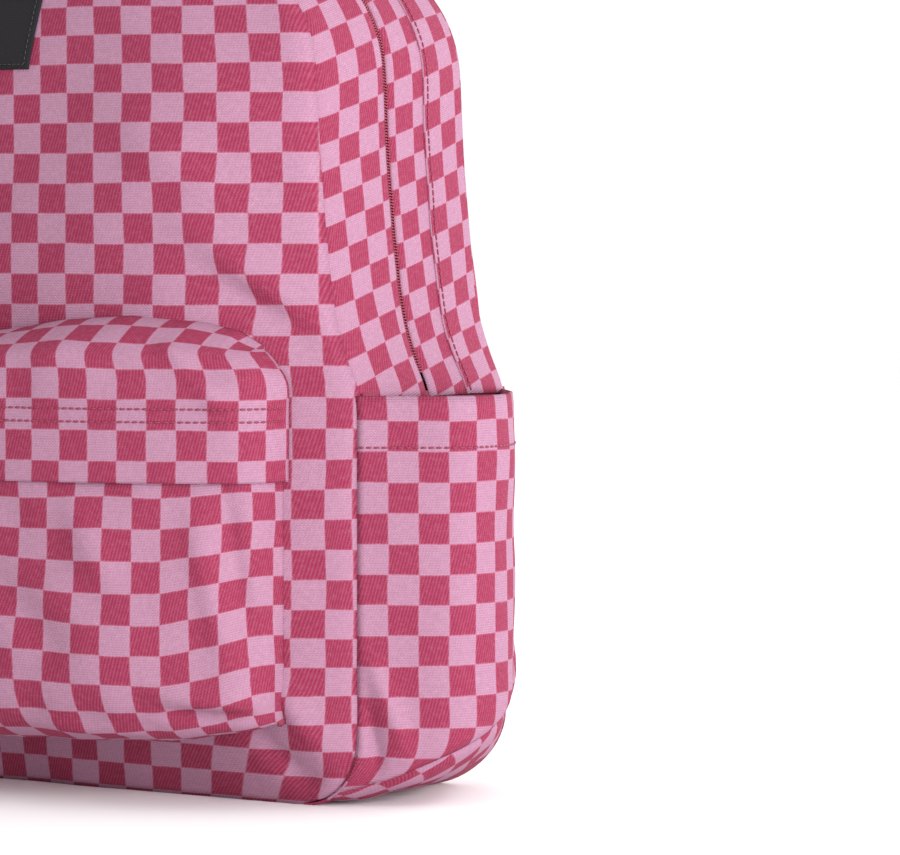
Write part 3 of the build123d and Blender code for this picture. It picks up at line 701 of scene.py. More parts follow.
columns = len(pocket_plan)
heel = np.interp(np.abs(pocket_plan[:, 0]), HEEL_X, HEEL_Z)
wave = np.linspace(0, 1, 46)[:, None]
face_z = 168 * MM + (heel + FOOT_ROUND - 168 * MM)[None, :] * wave
theta = np.linspace(0, pi / 2, 14)[1:, None]
turn_z = heel[None, :] + FOOT_ROUND * (1 - np.sin(theta))
turn_proud = 1 - 0.5 * (1 - np.cos(theta)) * np.ones(columns)
tail = np.linspace(1, 0, 8)[1:, None]
tail_z = (heel - 0.8 * MM)[None, :] + (1 - tail) * 3 * MM
z = np.concatenate([face_z, turn_z, tail_z])
proud = np.concatenate([np.ones_like(face_z), turn_proud, turn_proud[-1] * tail])
puff = 3.2 * MM * np.sin(pi * np.clip((z - heel) / (160 * MM - heel), 0, 1)) ** 0.8
points = pocket_points(z, proud, puff * np.cos(pocket_plan[:, 0] / POCKET_HALF * pi / 2)[None, :] ** 0.5)
flat = cut_of(points)
u, v = flat[..., 0].copy(), flat[..., 1].copy()
push = crumple(points, 2.6 * MM, 44 * MM, 11) + crumple(points, 1.2 * MM, 19 * MM, 12)
push += folds(-u, v, FACE_FOLDS) + folds(u, v, FACE_FOLDS + RIGHT_FOLDS)
push *= np.clip((np.abs(u).max() - np.abs(u)) / (10 * MM), 0, 1) * np.clip(-v / (16 * MM), 0.1, 1)
points = points + normals_of(points) * push[..., None]
flat[..., 0] += crumple(points, 2.4 * MM, 60 * MM, 15) - 0.06 * v * np.clip(1 - u / (60 * MM), 0, 1.4)
flat[..., 1] += crumple(points, 2.0 * MM, 50 * MM, 16)
PHASE_POCKET = np.array((-0.0009, -0.0071))
pocket_front = cloth("pocket_front_cloth", points, flat + PHASE_POCKET)
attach(pocket_front, "bag")
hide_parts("pocket_front")

join = np.interp(np.abs(pocket_plan[:, 0]), JOIN_X, JOIN_Z)
rise = np.linspace(0, 1, 20)[:, None]
top_z = join[None, :] + (POCKET_EDGE_Z - join)[None, :] * rise**1.5
drop = np.linspace(0, 1, 36)[1:, None]
down_z = POCKET_EDGE_Z + (FLAP_LOW_Z - POCKET_EDGE_Z) * drop * np.ones(columns)
z = np.concatenate([top_z, down_z])
proud = np.concatenate([rise * np.ones(columns), np.ones_like(down_z)])
outset = 2.6 * MM * np.clip((POCKET_EDGE_Z - z) / (16 * MM), 0, 1)
points = relax(pocket_points(z, proud, outset), slice(16, 25), 5)
flat = cut_of(points)
u, v = flat[..., 0], flat[..., 1]
push = crumple(points, 1.8 * MM, 34 * MM, 14) + crumple(points, 0.7 * MM, 14 * MM, 17)
push += folds(-u, v, TOP_FOLDS) + folds(u, v, TOP_FOLDS)
near_edge = np.clip((POCKET_EDGE_Z + 12 * MM - points[..., 2]) / (10 * MM), 0.3, 1)
push *= np.clip(-v / (10 * MM), 0, 1) * near_edge
push *= np.where(points[..., 2] < FLAP_TOP_Z, 0.35, 1.0)
points = points + normals_of(points) * push[..., None]
PHASE_TOP = np.array((0.0055, -0.0013))
pocket_top = cloth("pocket_top_cloth", points, flat + PHASE_TOP, 1.3 * MM)
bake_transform(pocket_top)
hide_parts("pocket_yoke", "pocket_flap")
pocket_top_grid = points

# ---- Stitching -------------------------------------------------------------------------------
# Rose thread in rows of dashes: two rows hold the pocket's flap, one holds each side pocket's hem,
# and one runs round the gusset where its rear strip is turned in over the zip's lip.

thread_finish = Finish("thread", Base_Color=(0.36, 0.03, 0.07, 1), Roughness=0.6)
twist = (thread_finish.noise(thread_finish.place(), 2600.0) - 0.5) * 0.5 + 0.5
thread_finish.feed("Base Color", thread_finish.mix((0.16, 0.012, 0.036), (0.30, 0.035, 0.08), twist))
thread_finish.feed("Normal", thread_finish.bump(twist, 0.1 * MM, 0.4))
thread = thread_finish.material


def path_tree(name, finish, sizes, build):
    """A node tree that builds a painted form along a path, and the values of its size sockets."""
    tree = bpy.data.node_groups.new(name, "GeometryNodeTree")
    tree.interface.new_socket("Geometry", in_out="INPUT", socket_type="NodeSocketGeometry")
    values = {}
    for key, value in sizes.items():
        socket = tree.interface.new_socket(key, in_out="INPUT", socket_type="NodeSocketFloat")
        values[socket.identifier] = value
    tree.interface.new_socket("Geometry", in_out="OUTPUT", socket_type="NodeSocketGeometry")

    def node(kind, links=None, **settings):
        made = tree.nodes.new(kind)
        for key, value in settings.items():
            setattr(made, key, value)
        for key, value in (links or {}).items():
            if isinstance(value, bpy.types.NodeSocket):
                tree.links.new(value, made.inputs[key])
            else:
                made.inputs[key].default_value = value
        return made.outputs

    start = node("NodeGroupInput")
    path = node("GeometryNodeMeshToCurve", {"Mesh": start["Geometry"]})[0]
    real = node("GeometryNodeRealizeInstances", {0: build(node, start, path)})[0]
    smooth = node("GeometryNodeSetShadeSmooth", {0: real})[0]
    painted = node("GeometryNodeSetMaterial", {"Geometry": smooth, "Material": finish})[0]
    node("NodeGroupOutput", {0: painted})
    return tree, values


def bead_tree(name, finish, pitch, across, along):
    """A node tree that sets a small bead at every step along a path: stitches, or a zip's teeth."""

    def beads(node, start, path):
        pitched = {"Curve": path, "Length": start["Pitch"]}
        steps = node("GeometryNodeResampleCurve", pitched, mode="LENGTH")[0]
        bead = node("GeometryNodeMeshUVSphere", {"Segments": 6, "Rings": 4, "Radius": 0.5})[0]
        tangent = node("GeometryNodeInputTangent")[0]
        turn = node("FunctionNodeAlignRotationToVector", {"Vector": tangent}, axis="Z")[0]
        scale = {0: start["Across"], 1: start["Across"], 2: start["Along"]}
        size = node("ShaderNodeCombineXYZ", scale)[0]
        placed = {"Points": steps, "Instance": bead, "Rotation": turn, "Scale": size}
        return node("GeometryNodeInstanceOnPoints", placed)[0]

    return path_tree(name, finish, {"Pitch": pitch, "Across": across, "Along": along}, beads)


def along_paths(name, paths, tree_and_sizes):
    """Run a node tree along open paths and keep the result as a plain mesh."""
    tree, sizes = tree_and_sizes
    verts, edges = [], []
    for path in paths:
        edges += [(len(verts) + k, len(verts) + k + 1) for k in range(len(path) - 1)]
        verts += path.tolist()
    mesh = bpy.data.meshes.new(name)
    mesh.from_pydata(verts, edges, [])
    piece = bpy.data.objects.new(name, mesh)
    bpy.context.scene.collection.objects.link(piece)
    run = piece.modifiers.new("run", "NODES")
    run.node_group = tree
    for identifier, value in sizes.items():
        run[identifier] = value
    return settle(piece)


STITCH_PITCH = 3.3 * MM
STITCH_LONG = 2.9 * MM
STITCH_THICK = 1.0 * MM
stitches = bead_tree("stitches", thread, STITCH_PITCH, STITCH_THICK, STITCH_LONG)


def level_row(grid, level, lift):
    """A path across a grid at one height, lifted off its skin; rows run downwards."""
    skin = grid + normals_of(grid) * lift
    path = []
    for k in range(grid.shape[1]):
        below = int(np.argmax(grid[:, k, 2] < level))
        high, low = grid[below - 1, k, 2], grid[below, k, 2]
        share = (high - level) / (high - low)
        path.append(skin[below - 1, k] * (1 - share) + skin[below, k] * share)
    return np.array(path)


flap_rows = [level_row(pocket_top_grid, z * MM, 0.15 * MM)[3:-3] for z in (173.2, 167.6)]
flap_stitches = along_paths("flap_stitches", flap_rows, stitches)
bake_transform(flap_stitches)
hem_row = level_row(wall, HIP_Z - HEM_H, 0.15 * MM)
for side, name in ((-1, "left"), (1, "right")):
    row = along_paths(f"hem_stitches_{name}", [hem_row * (side, 1, 1)], stitches)
    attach(row, "bag")
grid, _ = strip_grid(TOPSTITCH_Y, REAR_Y + 1 * MM, HIP_Z, 1.25 * MM, 0.4 * MM, SEAM_TUCK, 5)
gusset_stitches = along_paths("gusset_stitches", [grid[:, 1] * 0.5 + grid[:, 2] * 0.5], stitches)
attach(gusset_stitches, "bag")

# ---- Main zip --------------------------------------------------------------------------------
# Two woven tapes sewn under the lips, each with a nylon coil on its edge. The coils close on each
# other down the middle of the slit, and end in moulded stops inside the side pockets.

COIL_PITCH = 1.3 * MM
COIL_ACROSS = 1.9 * MM
COIL_ALONG = 0.9 * MM
ZIP_FOOT_Z = 186 * MM
nylon_finish = Finish("zip_coil", Roughness=0.42)
gloss = nylon_finish.noise(nylon_finish.place(), 420.0)
nylon_finish.feed("Base Color", nylon_finish.mix((0.20, 0.02, 0.045), (0.34, 0.05, 0.09), gloss))
nylon_finish.feed("Roughness", 0.36 + gloss * 0.14)
coil_nylon = nylon_finish.material
teeth = bead_tree("teeth", coil_nylon, COIL_PITCH, COIL_ACROSS, COIL_ALONG)
tape_cloth = woven_finish("zip_tape", (0.34, 0.035, 0.08), (0.22, 0.02, 0.05), 0.8 * MM, 0.75)
for name, y_low, y_high, y_coil, body in (
    ("front", SLIT_Y - 12.5 * MM, SLIT_Y - 0.4 * MM, SLIT_Y - 0.8 * MM, "lid"),
    ("rear", SLIT_Y + 0.4 * MM, SLIT_Y + 12.5 * MM, SLIT_Y + 0.8 * MM, "bag"),
):
    points, flat = strip_grid(y_low, y_high, ZIP_FOOT_Z, -2.3 * MM, 0, 0, 5)
    tape = cloth(f"main_zip_tape_{name}_cloth", points[::-1], flat[::-1], 0.7 * MM, tape_cloth)
    path, out, length = rim_between(ZIP_FOOT_Z, 3 * MM)
    lift = gusset_bulge(y_coil) - 1.5 * MM
    line = at(path[:, 0] + out[:, 0] * lift, y_coil, path[:, 1] + out[:, 1] * lift)
    coil = along_paths(f"main_zip_teeth_{name}", [line], teeth)
    for piece in (tape, coil):
        if body == "lid":
            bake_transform(piece)
        else:
            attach(piece, "bag")
    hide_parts(f"main_zip_tape_{name}")
    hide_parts(f"main_zip_coil_{name}")

# ---- Front pocket's zip ----------------------------------------------------------------------
# The same coil and tape, set back behind the flap, between the pocket's top and its front.

ZIP_HALF = 112 * MM
POCKET_ZIP_INSET = 6 * MM
behind = np.abs(pocket_plan[:, 0]) < ZIP_HALF
for name, z_low, z_high, z_coil in (("lower", 146, 156.6, 157.0), ("upper", 158.4, 169, 158.0)):
    z = np.linspace(z_high, z_low, 6)[:, None] * MM * np.ones(columns)
    points = pocket_points(z, np.ones_like(z), np.full(z.shape, -POCKET_ZIP_INSET))[:, behind]
    flat = cut_of(points)
    tape = cloth(f"pocket_zip_tape_{name}_cloth", points, flat, 0.7 * MM, tape_cloth)
    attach(tape, "bag")
    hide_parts(f"pocket_zip_tape_{name}")
    z = np.full((1, columns), z_coil * MM)
    line = pocket_points(z, np.ones_like(z), np.full(z.shape, 0.6 * MM - POCKET_ZIP_INSET))[0, behind]
    coil = along_paths(f"pocket_zip_teeth_{name}", [line], teeth)
    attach(coil, "bag")
    if name == "lower":
        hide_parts("pocket_zip_coil")

# ---- Sliders, pulls, stops, buckles and board ------------------------------------------------
# Die-cast sliders and pulls are painted rose and worn bright at their edges. The zip's stops and the
# ladder locks are moulded nylon, and a stiff fibre board lies loose in the base.

paint = Finish("slider_metal", Metallic=0.0, Coat_Weight=0.25)
worn = paint.noise(paint.place(), 900.0, 3.0, 0.6)
rubbed = ((worn - 0.66) * 6.0).held(0.0, 0.7)
paint.feed("Base Color", paint.mix((0.30, 0.03, 0.07), (0.62, 0.50, 0.50), rubbed))
paint.feed("Roughness", 0.28 + worn * 0.2)
paint.feed("Normal", paint.bump(worn, 0.05 * MM, 0.3))
moulded = Finish("buckle_plastic", Roughness=0.5)
grain = moulded.noise(moulded.place(), 1500.0, 2.0)
moulded.feed("Base Color", moulded.mix((0.27, 0.028, 0.062), (0.38, 0.05, 0.10), grain))
moulded.feed("Roughness", 0.42 + grain * 0.15)
moulded.feed("Normal", moulded.bump(grain, 0.06 * MM, 0.4))
fibre = Finish("board", Roughness=0.9)
flecks = fibre.noise(fibre.place(), 500.0, 5.0, 0.7)
fibre.feed("Base Color", fibre.mix((0.16, 0.12, 0.09), (0.36, 0.29, 0.22), flecks))
fibre.feed("Normal", fibre.bump(flecks, 0.2 * MM, 0.5))
HARD = {
    paint.material: ("main_slider_left", "main_slider_right", "main_pull_left", "main_pull_right",
                     "pocket_slider", "pocket_pull"),
    moulded.material: ("ladder_lock_left", "ladder_lock_right"),
    coil_nylon: ("main_zip_stops",),
    fibre.material: ("base_board",),
}
for finish, nodes in HARD.items():
    for node in nodes:
        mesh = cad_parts[node].data
        mesh.materials.clear()
        mesh.materials.append(finish)

# ---- Label -----------------------------------------------------------------------------------
# A plain black woven patch, sewn round its edge to the upper front panel.

LABEL_X = -5 * MM
LABEL_HALF = 16 * MM
LABEL_HALF_H = 17 * MM
label_finish = Finish("label_felt", Roughness=0.85, Specular_IOR_Level=0.25)
uv, u, v = label_finish.flat()
rib = (v * (2 * pi / (0.7 * MM))).sine() * 0.5 + (u * (2 * pi / (0.9 * MM))).sine() * 0.3
fuzz = label_finish.noise(uv, 1800.0, 3.0, 0.7)
label_finish.feed("Base Color", label_finish.mix((0.006, 0.005, 0.007), (0.018, 0.016, 0.020), fuzz))
label_finish.feed("Normal", label_finish.bump(rib + fuzz, 0.12 * MM, 0.6))
a, b = np.meshgrid(np.linspace(-1, 1, 41), np.linspace(1, -1, 35))
x, z = LABEL_X + a * LABEL_HALF, LABEL_Z + b * LABEL_HALF_H
edge = np.maximum(np.abs(a), np.abs(b))
points = at(x, front_y(x, z) - 1.5 * MM + 0.9 * MM * edge**10, z)
flat = at(x, z - LABEL_Z)
label = cloth("label_patch_cloth", points, flat, 1.1 * MM, label_finish.material)
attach(label, "lid")
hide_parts("label_patch")
inset = 2.2 * MM
corners = np.array([(-1, 1), (1, 1), (1, -1), (-1, -1), (-1, 1)])
corners = corners * (LABEL_HALF - inset, LABEL_HALF_H - inset)
x, z = (evenly(corners, 120) + (LABEL_X, LABEL_Z)).T
border = at(x, front_y(x, z) - 1.65 * MM, z)
black = Finish("label_thread", Roughness=0.6)
fuzz = black.noise(black.place(), 2000.0)
black.feed("Base Color", black.mix((0.012, 0.012, 0.013), (0.03, 0.03, 0.03), fuzz))
label_thread = bead_tree("label_stitches", black.material, 2.6 * MM, 0.6 * MM, 2.1 * MM)
label_stitches = along_paths("label_stitches", [border], label_thread)
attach(label_stitches, "lid")

# ---- Back panel, foam and lining -------------------------------------------------------------
# The wearer's side: canvas over a sheet of foam, lined inside, with a flat sleeve for a laptop sewn
# to the lining and bound along its top edge.

BACK_Y = 57.6 * MM


def rim_grid(y, inset, rows=120, cols=97):
    """A flat panel of the bag's outline at a depth, facing the wearer: rows run downwards."""
    z = np.linspace(HEIGHT - inset, inset, rows)
    t = np.linspace(1, -1, cols)
    x = t[None, :] * np.maximum(half_width(z) - inset, 1 * MM)[:, None]
    return at(x, y, z[:, None])


points = rim_grid(BACK_Y, 0)
edge = np.clip((half_width(points[..., 2]) - np.abs(points[..., 0])) / (9 * MM), 0, 1)
points[..., 1] += (crumple(points, 0.6 * MM, 60 * MM, 21) + 0.4 * MM) * edge - 1.6 * MM * (1 - edge) ** 3
flat = points[..., [0, 2]].copy()
back_panel = cloth("back_panel_cloth", squeeze(points), flat)
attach(back_panel, "bag")
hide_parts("back_panel")

foam_finish = Finish("foam", Roughness=0.95)
cells = foam_finish.noise(foam_finish.place(), 1300.0, 2.0, 0.6)
foam_finish.feed("Base Color", foam_finish.mix((0.45, 0.45, 0.43), (0.68, 0.68, 0.65), cells))
foam_finish.feed("Normal", foam_finish.bump(cells, 0.4 * MM, 0.7))
points = squeeze(rim_grid(55.8 * MM, 5 * MM, 80, 65))
flat = rim_grid(0, 5 * MM, 80, 65)[..., [0, 2]]
foam = cloth("back_foam_sheet", points, flat, 6.6 * MM, foam_finish.material)
foam.data.materials[1] = foam_finish.material
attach(foam, "bag")
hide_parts("back_foam")
points = squeeze(rim_grid(48.6 * MM, 6 * MM, 80, 65))
points[..., 1] += crumple(points, 0.3 * MM, 50 * MM, 22)
flat = rim_grid(0, 6 * MM, 80, 65)[..., [0, 2]]
back_lining = cloth("back_lining_cloth", points, flat, 0.8 * MM, lining)
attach(back_lining, "bag")
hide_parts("back_lining")

SLEEVE_HALF = 134 * MM
SLEEVE_TOP = 270 * MM
across, up = np.linspace(-SLEEVE_HALF, SLEEVE_HALF, 70), np.linspace(SLEEVE_TOP - 2 * MM, 6 * MM, 70)
xx, zz = np.meshgrid(across, up)
yy = 24 * MM + 0.9 * MM * np.sin(xx / SLEEVE_HALF * 2.2 * pi) * np.clip(zz / SLEEVE_TOP, 0, 1) ** 2
points, flat = at(xx, yy, zz), at(xx, zz)
sleeve = cloth("laptop_sleeve_cloth", points, flat, 1.1 * MM, lining)
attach(sleeve, "bag")
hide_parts("laptop_sleeve")

# ---- Webbing: sleeve binding, strap yoke, haul loop and its tabs -----------------------------
# Ribbed polyester tape, woven flat. The yoke covers the ends of the straps, and the haul loop's two
# ends run down behind it under sewn tabs.


def webbing_finish(name, light, dark):
    """Ribbed tape: ribs across its length, a slanting weave and a slight sheen."""
    f = Finish(name, Roughness=0.62, Sheen_Weight=0.15)
    uv, u, v = f.flat()
    rib = (v * (2 * pi / (1.9 * MM))).sine()
    herring = ((u + v * 0.5) * (2 * pi / (1.1 * MM))).sine()
    dye = f.noise(uv, 700.0, 3.0, 0.6)
    f.feed("Base Color", f.mix(dark, light, (rib * 0.22 + herring * 0.12 + dye * 0.7).held(0.0, 1.0)))
    f.feed("Roughness", 0.55 + dye * 0.2)
    f.feed("Normal", f.bump(rib + herring * 0.5 + dye * 0.5, 0.22 * MM, 0.7))
    return f.material


webbing = webbing_finish("webbing", (0.42, 0.05, 0.10), (0.25, 0.022, 0.052))


def ribbon(name, path, across, width, thick, finish=webbing, crown=0.0, cols=9):
    """A flat tape along a path; across is its width direction at each point."""
    across = unit(np.asarray(across, float) * np.ones_like(path))
    t = np.linspace(-0.5, 0.5, cols)
    out = unit(np.cross(np.gradient(path, axis=0), across))
    bow = crown * (1 - (2 * t) ** 4)
    points = path[:, None] + across[:, None] * (t * width)[:, None] + out[:, None] * bow[:, None]
    flat = at(t * width, -run_along(path)[:, None])
    piece = cloth(name, points, flat, thick, finish)
    piece.data.materials[1] = finish
    return piece, flat


xs = np.linspace(SLEEVE_HALF, -SLEEVE_HALF, 80)
waves = 0.9 * MM * np.sin(xs / SLEEVE_HALF * 2.2 * pi)
path = at(xs, 22.4 * MM + waves, SLEEVE_TOP - 7 * MM)
binding, flat = ribbon("sleeve_binding_tape", path[::-1], (0, 0, -1), 14 * MM, 3.0 * MM)
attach(binding, "bag")
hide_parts("laptop_sleeve_binding")

YOKE_TOP = 374 * MM
YOKE_LOW = 352 * MM
YOKE_HALF = 96 * MM
plain_canvas = woven_finish("plain_canvas", (0.43, 0.055, 0.105), (0.28, 0.025, 0.06), 0.9 * MM)
xs = np.linspace(YOKE_HALF, -YOKE_HALF, 90)
path = at(xs, 58.4 * MM + 1.4 * MM * (1 - (xs / YOKE_HALF) ** 8), (YOKE_TOP + YOKE_LOW) / 2)
tall = YOKE_TOP - YOKE_LOW
yoke, flat = ribbon("strap_yoke_cloth", path, (0, 0, -1), tall, 1.6 * MM, plain_canvas, 1.0 * MM)
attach(yoke, "bag")
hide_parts("strap_yoke")
rows = []
for z in (YOKE_TOP - 2.6 * MM, YOKE_LOW + 2.6 * MM):
    rows.append(at(xs, path[:, 1] + 0.9 * MM, z)[2:-2])
yoke_stitches = along_paths("yoke_stitches", rows, stitches)
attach(yoke_stitches, "bag")

LOOP_Y = 59.4 * MM
LOOP_PIVOT_Z = 409.5 * MM
LOOP_MID = np.array((33.0, 31.0)) * MM
angle = np.linspace(0, pi, 60)
radial = at(np.cos(angle), 0, np.sin(angle))
path = radial * (LOOP_MID[0], 1, LOOP_MID[1]) + (0, LOOP_Y + 1.5 * MM, LOOP_PIVOT_Z)
feet = np.array([(0, 0, -5), (0, 0, -3), (0, 0, -1)]) * MM
long_path = np.concatenate([path[0] + feet, path, path[-1] + feet[::-1]])
long_radial = np.concatenate([radial[[0] * 3], radial, radial[[-1] * 3]])
haul_loop, flat = ribbon("haul_loop_webbing", long_path, long_radial, 18 * MM, 3.0 * MM, webbing, 0.2 * MM)
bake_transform(haul_loop)
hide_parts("haul_loop")
rows = [(path + radial * w + (0, 0.3 * MM, 0))[4:-4] for w in (-6.6 * MM, 6.6 * MM)]
loop_stitches = along_paths("loop_stitches", rows, stitches)
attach(loop_stitches, "loop")
TAB_TOP = LOOP_PIVOT_Z - 1.8 * MM
for side, name in ((-1, "left"), (1, "right")):
    z = np.linspace(TAB_TOP, TAB_TOP - 26 * MM, 20)
    path = at(side * LOOP_MID[0], 61.0 * MM, z)
    tab, flat = ribbon(f"haul_loop_tab_{name}", path, (-1, 0, 0), 18 * MM, 3.2 * MM, webbing, 0.3 * MM)
    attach(tab, "bag")
    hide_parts("haul_loop_tabs")
    box = np.array([(-6, -4), (6, -4), (6, -22), (-6, -22), (-6, -4), (6, -22)]) * MM
    path = at(side * LOOP_MID[0] + box[:, 0], 61.5 * MM, TAB_TOP + box[:, 1])
    cross = along_paths(f"tab_stitches_{name}", [evenly(path, 60)], stitches)
    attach(cross, "bag")

# ---- Back pads -------------------------------------------------------------------------------
# Two upright pads and one across the small of the back: foam under spacer mesh, blown up as cloth,
# with channels sewn across them, and piping in the seam.


def mesh_finish(name, light, dark):
    """Knitted spacer mesh: small round holes in rows, each row set off by half a step; the holes are painted
    dark as painted shade inside them.
    """
    f = Finish(name, Roughness=0.85, Specular_IOR_Level=0.2)
    place = f.place()
    x, z = place.part(0), place.part(2)
    step = 2 * pi / (3.0 * MM)
    holes = ((x + z) * step).sine() * ((x - z) * step).sine()
    # painted shade: the holes are darkened towards the dark colour, standing in for the shade that falls
    # inside them
    pit_shade = (holes * 1.6).held(0.0, 1.0)
    yarn = f.noise(place, 1600.0, 3.0, 0.7)
    f.feed("Base Color", f.mix(light, dark, (pit_shade * 0.75 + yarn * 0.3).held(0.0, 1.0)))
    f.feed("Roughness", 0.75 + yarn * 0.2)
    f.feed("Normal", f.bump(yarn * 0.4 - pit_shade, 0.7 * MM, 0.8))
    return f.material


# the second colour is the painted shade in the mesh's holes, and also the dark end of the yarn's uneven tone
pad_mesh = mesh_finish("pad_mesh", (0.38, 0.045, 0.09), (0.16, 0.014, 0.035))


def prism(name, outline, low, high):
    """A closed block from an outline in x and z, between two depths."""
    n = len(outline)
    verts = [(x, y, z) for y in (low, high) for x, z in outline]
    faces = [tuple(range(n)), tuple(range(2 * n - 1, n - 1, -1))]
    faces += [(k, n + k, n + (k + 1) % n, (k + 1) % n) for k in range(n)]
    return solid(name, verts, faces)


def solid(name, verts, faces):
    mesh = bpy.data.meshes.new(name)
    mesh.from_pydata(verts, [], faces)
    shape = bmesh.new()
    shape.from_mesh(mesh)
    bmesh.ops.recalc_face_normals(shape, faces=shape.faces)
    shape.to_mesh(mesh)
    shape.free()
    return mesh


def coords(mesh):
    out = np.zeros(len(mesh.vertices) * 3)
    mesh.vertices.foreach_get("co", out)
    return out.reshape(-1, 3)


def stuffed(name, mesh, voxel, cap):
    """Blow up a closed form as cloth round its foam, with every point held within the cap."""
    piece = bpy.data.objects.new(name, mesh)
    bpy.context.scene.collection.objects.link(piece)
    even = piece.modifiers.new("even", "REMESH")
    even.mode = "VOXEL"
    even.voxel_size = voxel
    settle(piece)
    start = coords(piece.data)
    soft = piece.modifiers.new("soft", "CLOTH")
    soft.settings.use_pressure = True
    soft.settings.uniform_pressure_force = 4
    soft.settings.effector_weights.gravity = 0
    soft.point_cache.frame_start, soft.point_cache.frame_end = 1, 20
    for step in range(1, 21):
        bpy.context.scene.frame_set(step)
    settle(piece)
    bpy.context.scene.frame_set(1)
    move = coords(piece.data) - start
    far = np.linalg.norm(move, axis=1, keepdims=True)
    place = start + move * np.minimum(1, cap / np.maximum(far, 1e-9))
    piece.data.vertices.foreach_set("co", place.ravel())
    finer = piece.modifiers.new("finer", "SUBSURF")
    finer.levels = finer.render_levels = 1
    settle(piece)
    piece.data.polygons.foreach_set("use_smooth", [True] * len(piece.data.polygons))
    return piece


def rounded(width, height, radius, n=10):
    """The outline of a rounded rectangle about the origin."""
    w, h = width / 2 - radius, height / 2 - radius
    quarter = [arc_points((sx * w, sz * h), radius, start, pi / 2, n)
               for sx, sz, start in ((1, 1, 0), (-1, 1, pi / 2), (-1, -1, pi), (1, -1, 3 * pi / 2))]
    return np.concatenate(quarter)


def tube_tree(name, finish, radius):
    """A node tree that runs a round cord along a path."""

    def tube(node, start, path):
        ring = node("GeometryNodeCurvePrimitiveCircle", {"Resolution": 8, "Radius": start["Radius"]})[0]
        cord = {"Curve": path, "Profile Curve": ring, "Fill Caps": True}
        return node("GeometryNodeCurveToMesh", cord)[0]

    return path_tree(name, finish, {"Radius": radius}, tube)


piping = tube_tree("piping", plain_canvas, 1.5 * MM)
PADS = (
    ("back_pad_left", -62, 210, 92, 190, (52, 0, -52)),
    ("back_pad_right", 62, 210, 92, 190, (52, 0, -52)),
    ("back_pad_lumbar", 0, 72, 190, 58, (0,)),
)
for name, x, z, width, height, channels in PADS:
    outline = rounded((width - 1) * MM, (height - 1) * MM, 16 * MM) + np.array((x, z)) * MM
    block = prism(name, outline, BACK_Y + 0.4 * MM, BACK_Y + 5.6 * MM)
    pad = stuffed(f"{name}_cloth", block, 3.0 * MM, 5 * MM)
    place = coords(pad.data)
    rise = np.clip((place[:, 1] - BACK_Y) / (6 * MM), 0, 1)
    for channel in channels:
        off = place[:, 2] - (z + channel) * MM
        place[:, 1] -= 3.4 * MM * rise * np.exp(-((off / (3.2 * MM)) ** 2))
    place[:, 1] = np.maximum(place[:, 1], BACK_Y + 0.4 * MM)
    pad.data.vertices.foreach_set("co", place.ravel())
    pad.data.materials.append(pad_mesh)
    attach(pad, "bag")
    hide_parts(name)
    outline = rounded((width - 1) * MM, (height - 1) * MM, 16 * MM) + np.array((x, z)) * MM
    outline = np.concatenate([outline, outline[:1]])
    line = at(outline[:, 0], BACK_Y + 1.9 * MM, outline[:, 1])
    cord = along_paths(f"{name}_piping", [line], piping)
    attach(cord, "bag")

# ---- Shoulder straps -------------------------------------------------------------------------
# Long pads of foam, canvas outside and mesh against the shoulder, bound along both edges. A tab at
# the lower end carries a ladder lock, and webbing from a wing on the side seam runs up to it.

STRAP_LEAN = radians(10)
STRAP_TOP = np.array((62, 0, 366)) * MM
STRAP_HALF = 29 * MM
STRAP = 11 * MM
STRAP_ARC = np.array([(60.8, -2), (92, -118), (76, -236)]) * MM
WEBBING = 25 * MM
WEBBING_THICK = 1.5 * MM
WING_SEAM = 161 * MM
WING_TIP = (62 + sin(STRAP_LEAN) * 330 - 14) * MM
WING_FOOT = 30 * MM
WING_TIP_TOP = 50 * MM
WING_SEAM_TOP = 78 * MM
ROUND_LOCK = [(84.8, -241), (84.8, -251), (83.5, -254), (80, -254.5), (78.0, -252), (77.9, -243)]
ROUND_LOCK = np.array(ROUND_LOCK + [(79.5, -237)]) * MM
FREE_END = [(76.6, -270), (79.5, -268.5), (83.6, -267.2), (86.2, -269), (86.8, -278), (87.5, -300)]
FREE_END = np.array(FREE_END + [(88, -322), (88.2, -330)]) * MM
WING_TO_LOCK = [(60.5, -329.4), (61.2, -324), (65, -300), (70.6, -280), (73.4, -266), (73.6, -250)]
WING_TO_LOCK = np.array(WING_TO_LOCK + [(73.4, -238), (75.6, -218), (77.0, -204)]) * MM


def strap_place(side, yqw):
    """Points of a strap from its own coordinates: depth, distance up the strap, and across it."""
    yqw = np.asarray(yqw, float)
    across = np.array((cos(STRAP_LEAN), 0, side * sin(STRAP_LEAN)))
    up = np.array((-side * sin(STRAP_LEAN), 0, cos(STRAP_LEAN)))
    along_strap = STRAP_TOP * (side, 1, 1) + yqw[..., 1:2] * up
    return along_strap + yqw[..., 2:3] * across + yqw[..., :1] * (0, 1, 0), across


def strap_path(side, route, n, rounds):
    """A route of depth and distance up the strap, rounded off and put on its strap."""
    route = softened(evenly(route, n), rounds)
    return strap_place(side, at(route[:, 0], route[:, 1], 0))


def through(a, b, c, n):
    """Points on the arc through three points."""
    m = np.array([b - a, c - a])
    mid = np.array([((a + b) / 2) @ (b - a), ((a + c) / 2) @ (c - a)])
    centre = np.linalg.solve(m, mid)
    start, end = (np.arctan2(*(p - centre)[::-1]) for p in (a, c))
    return arc_points(centre, np.linalg.norm(a - centre), start, end - start, n)


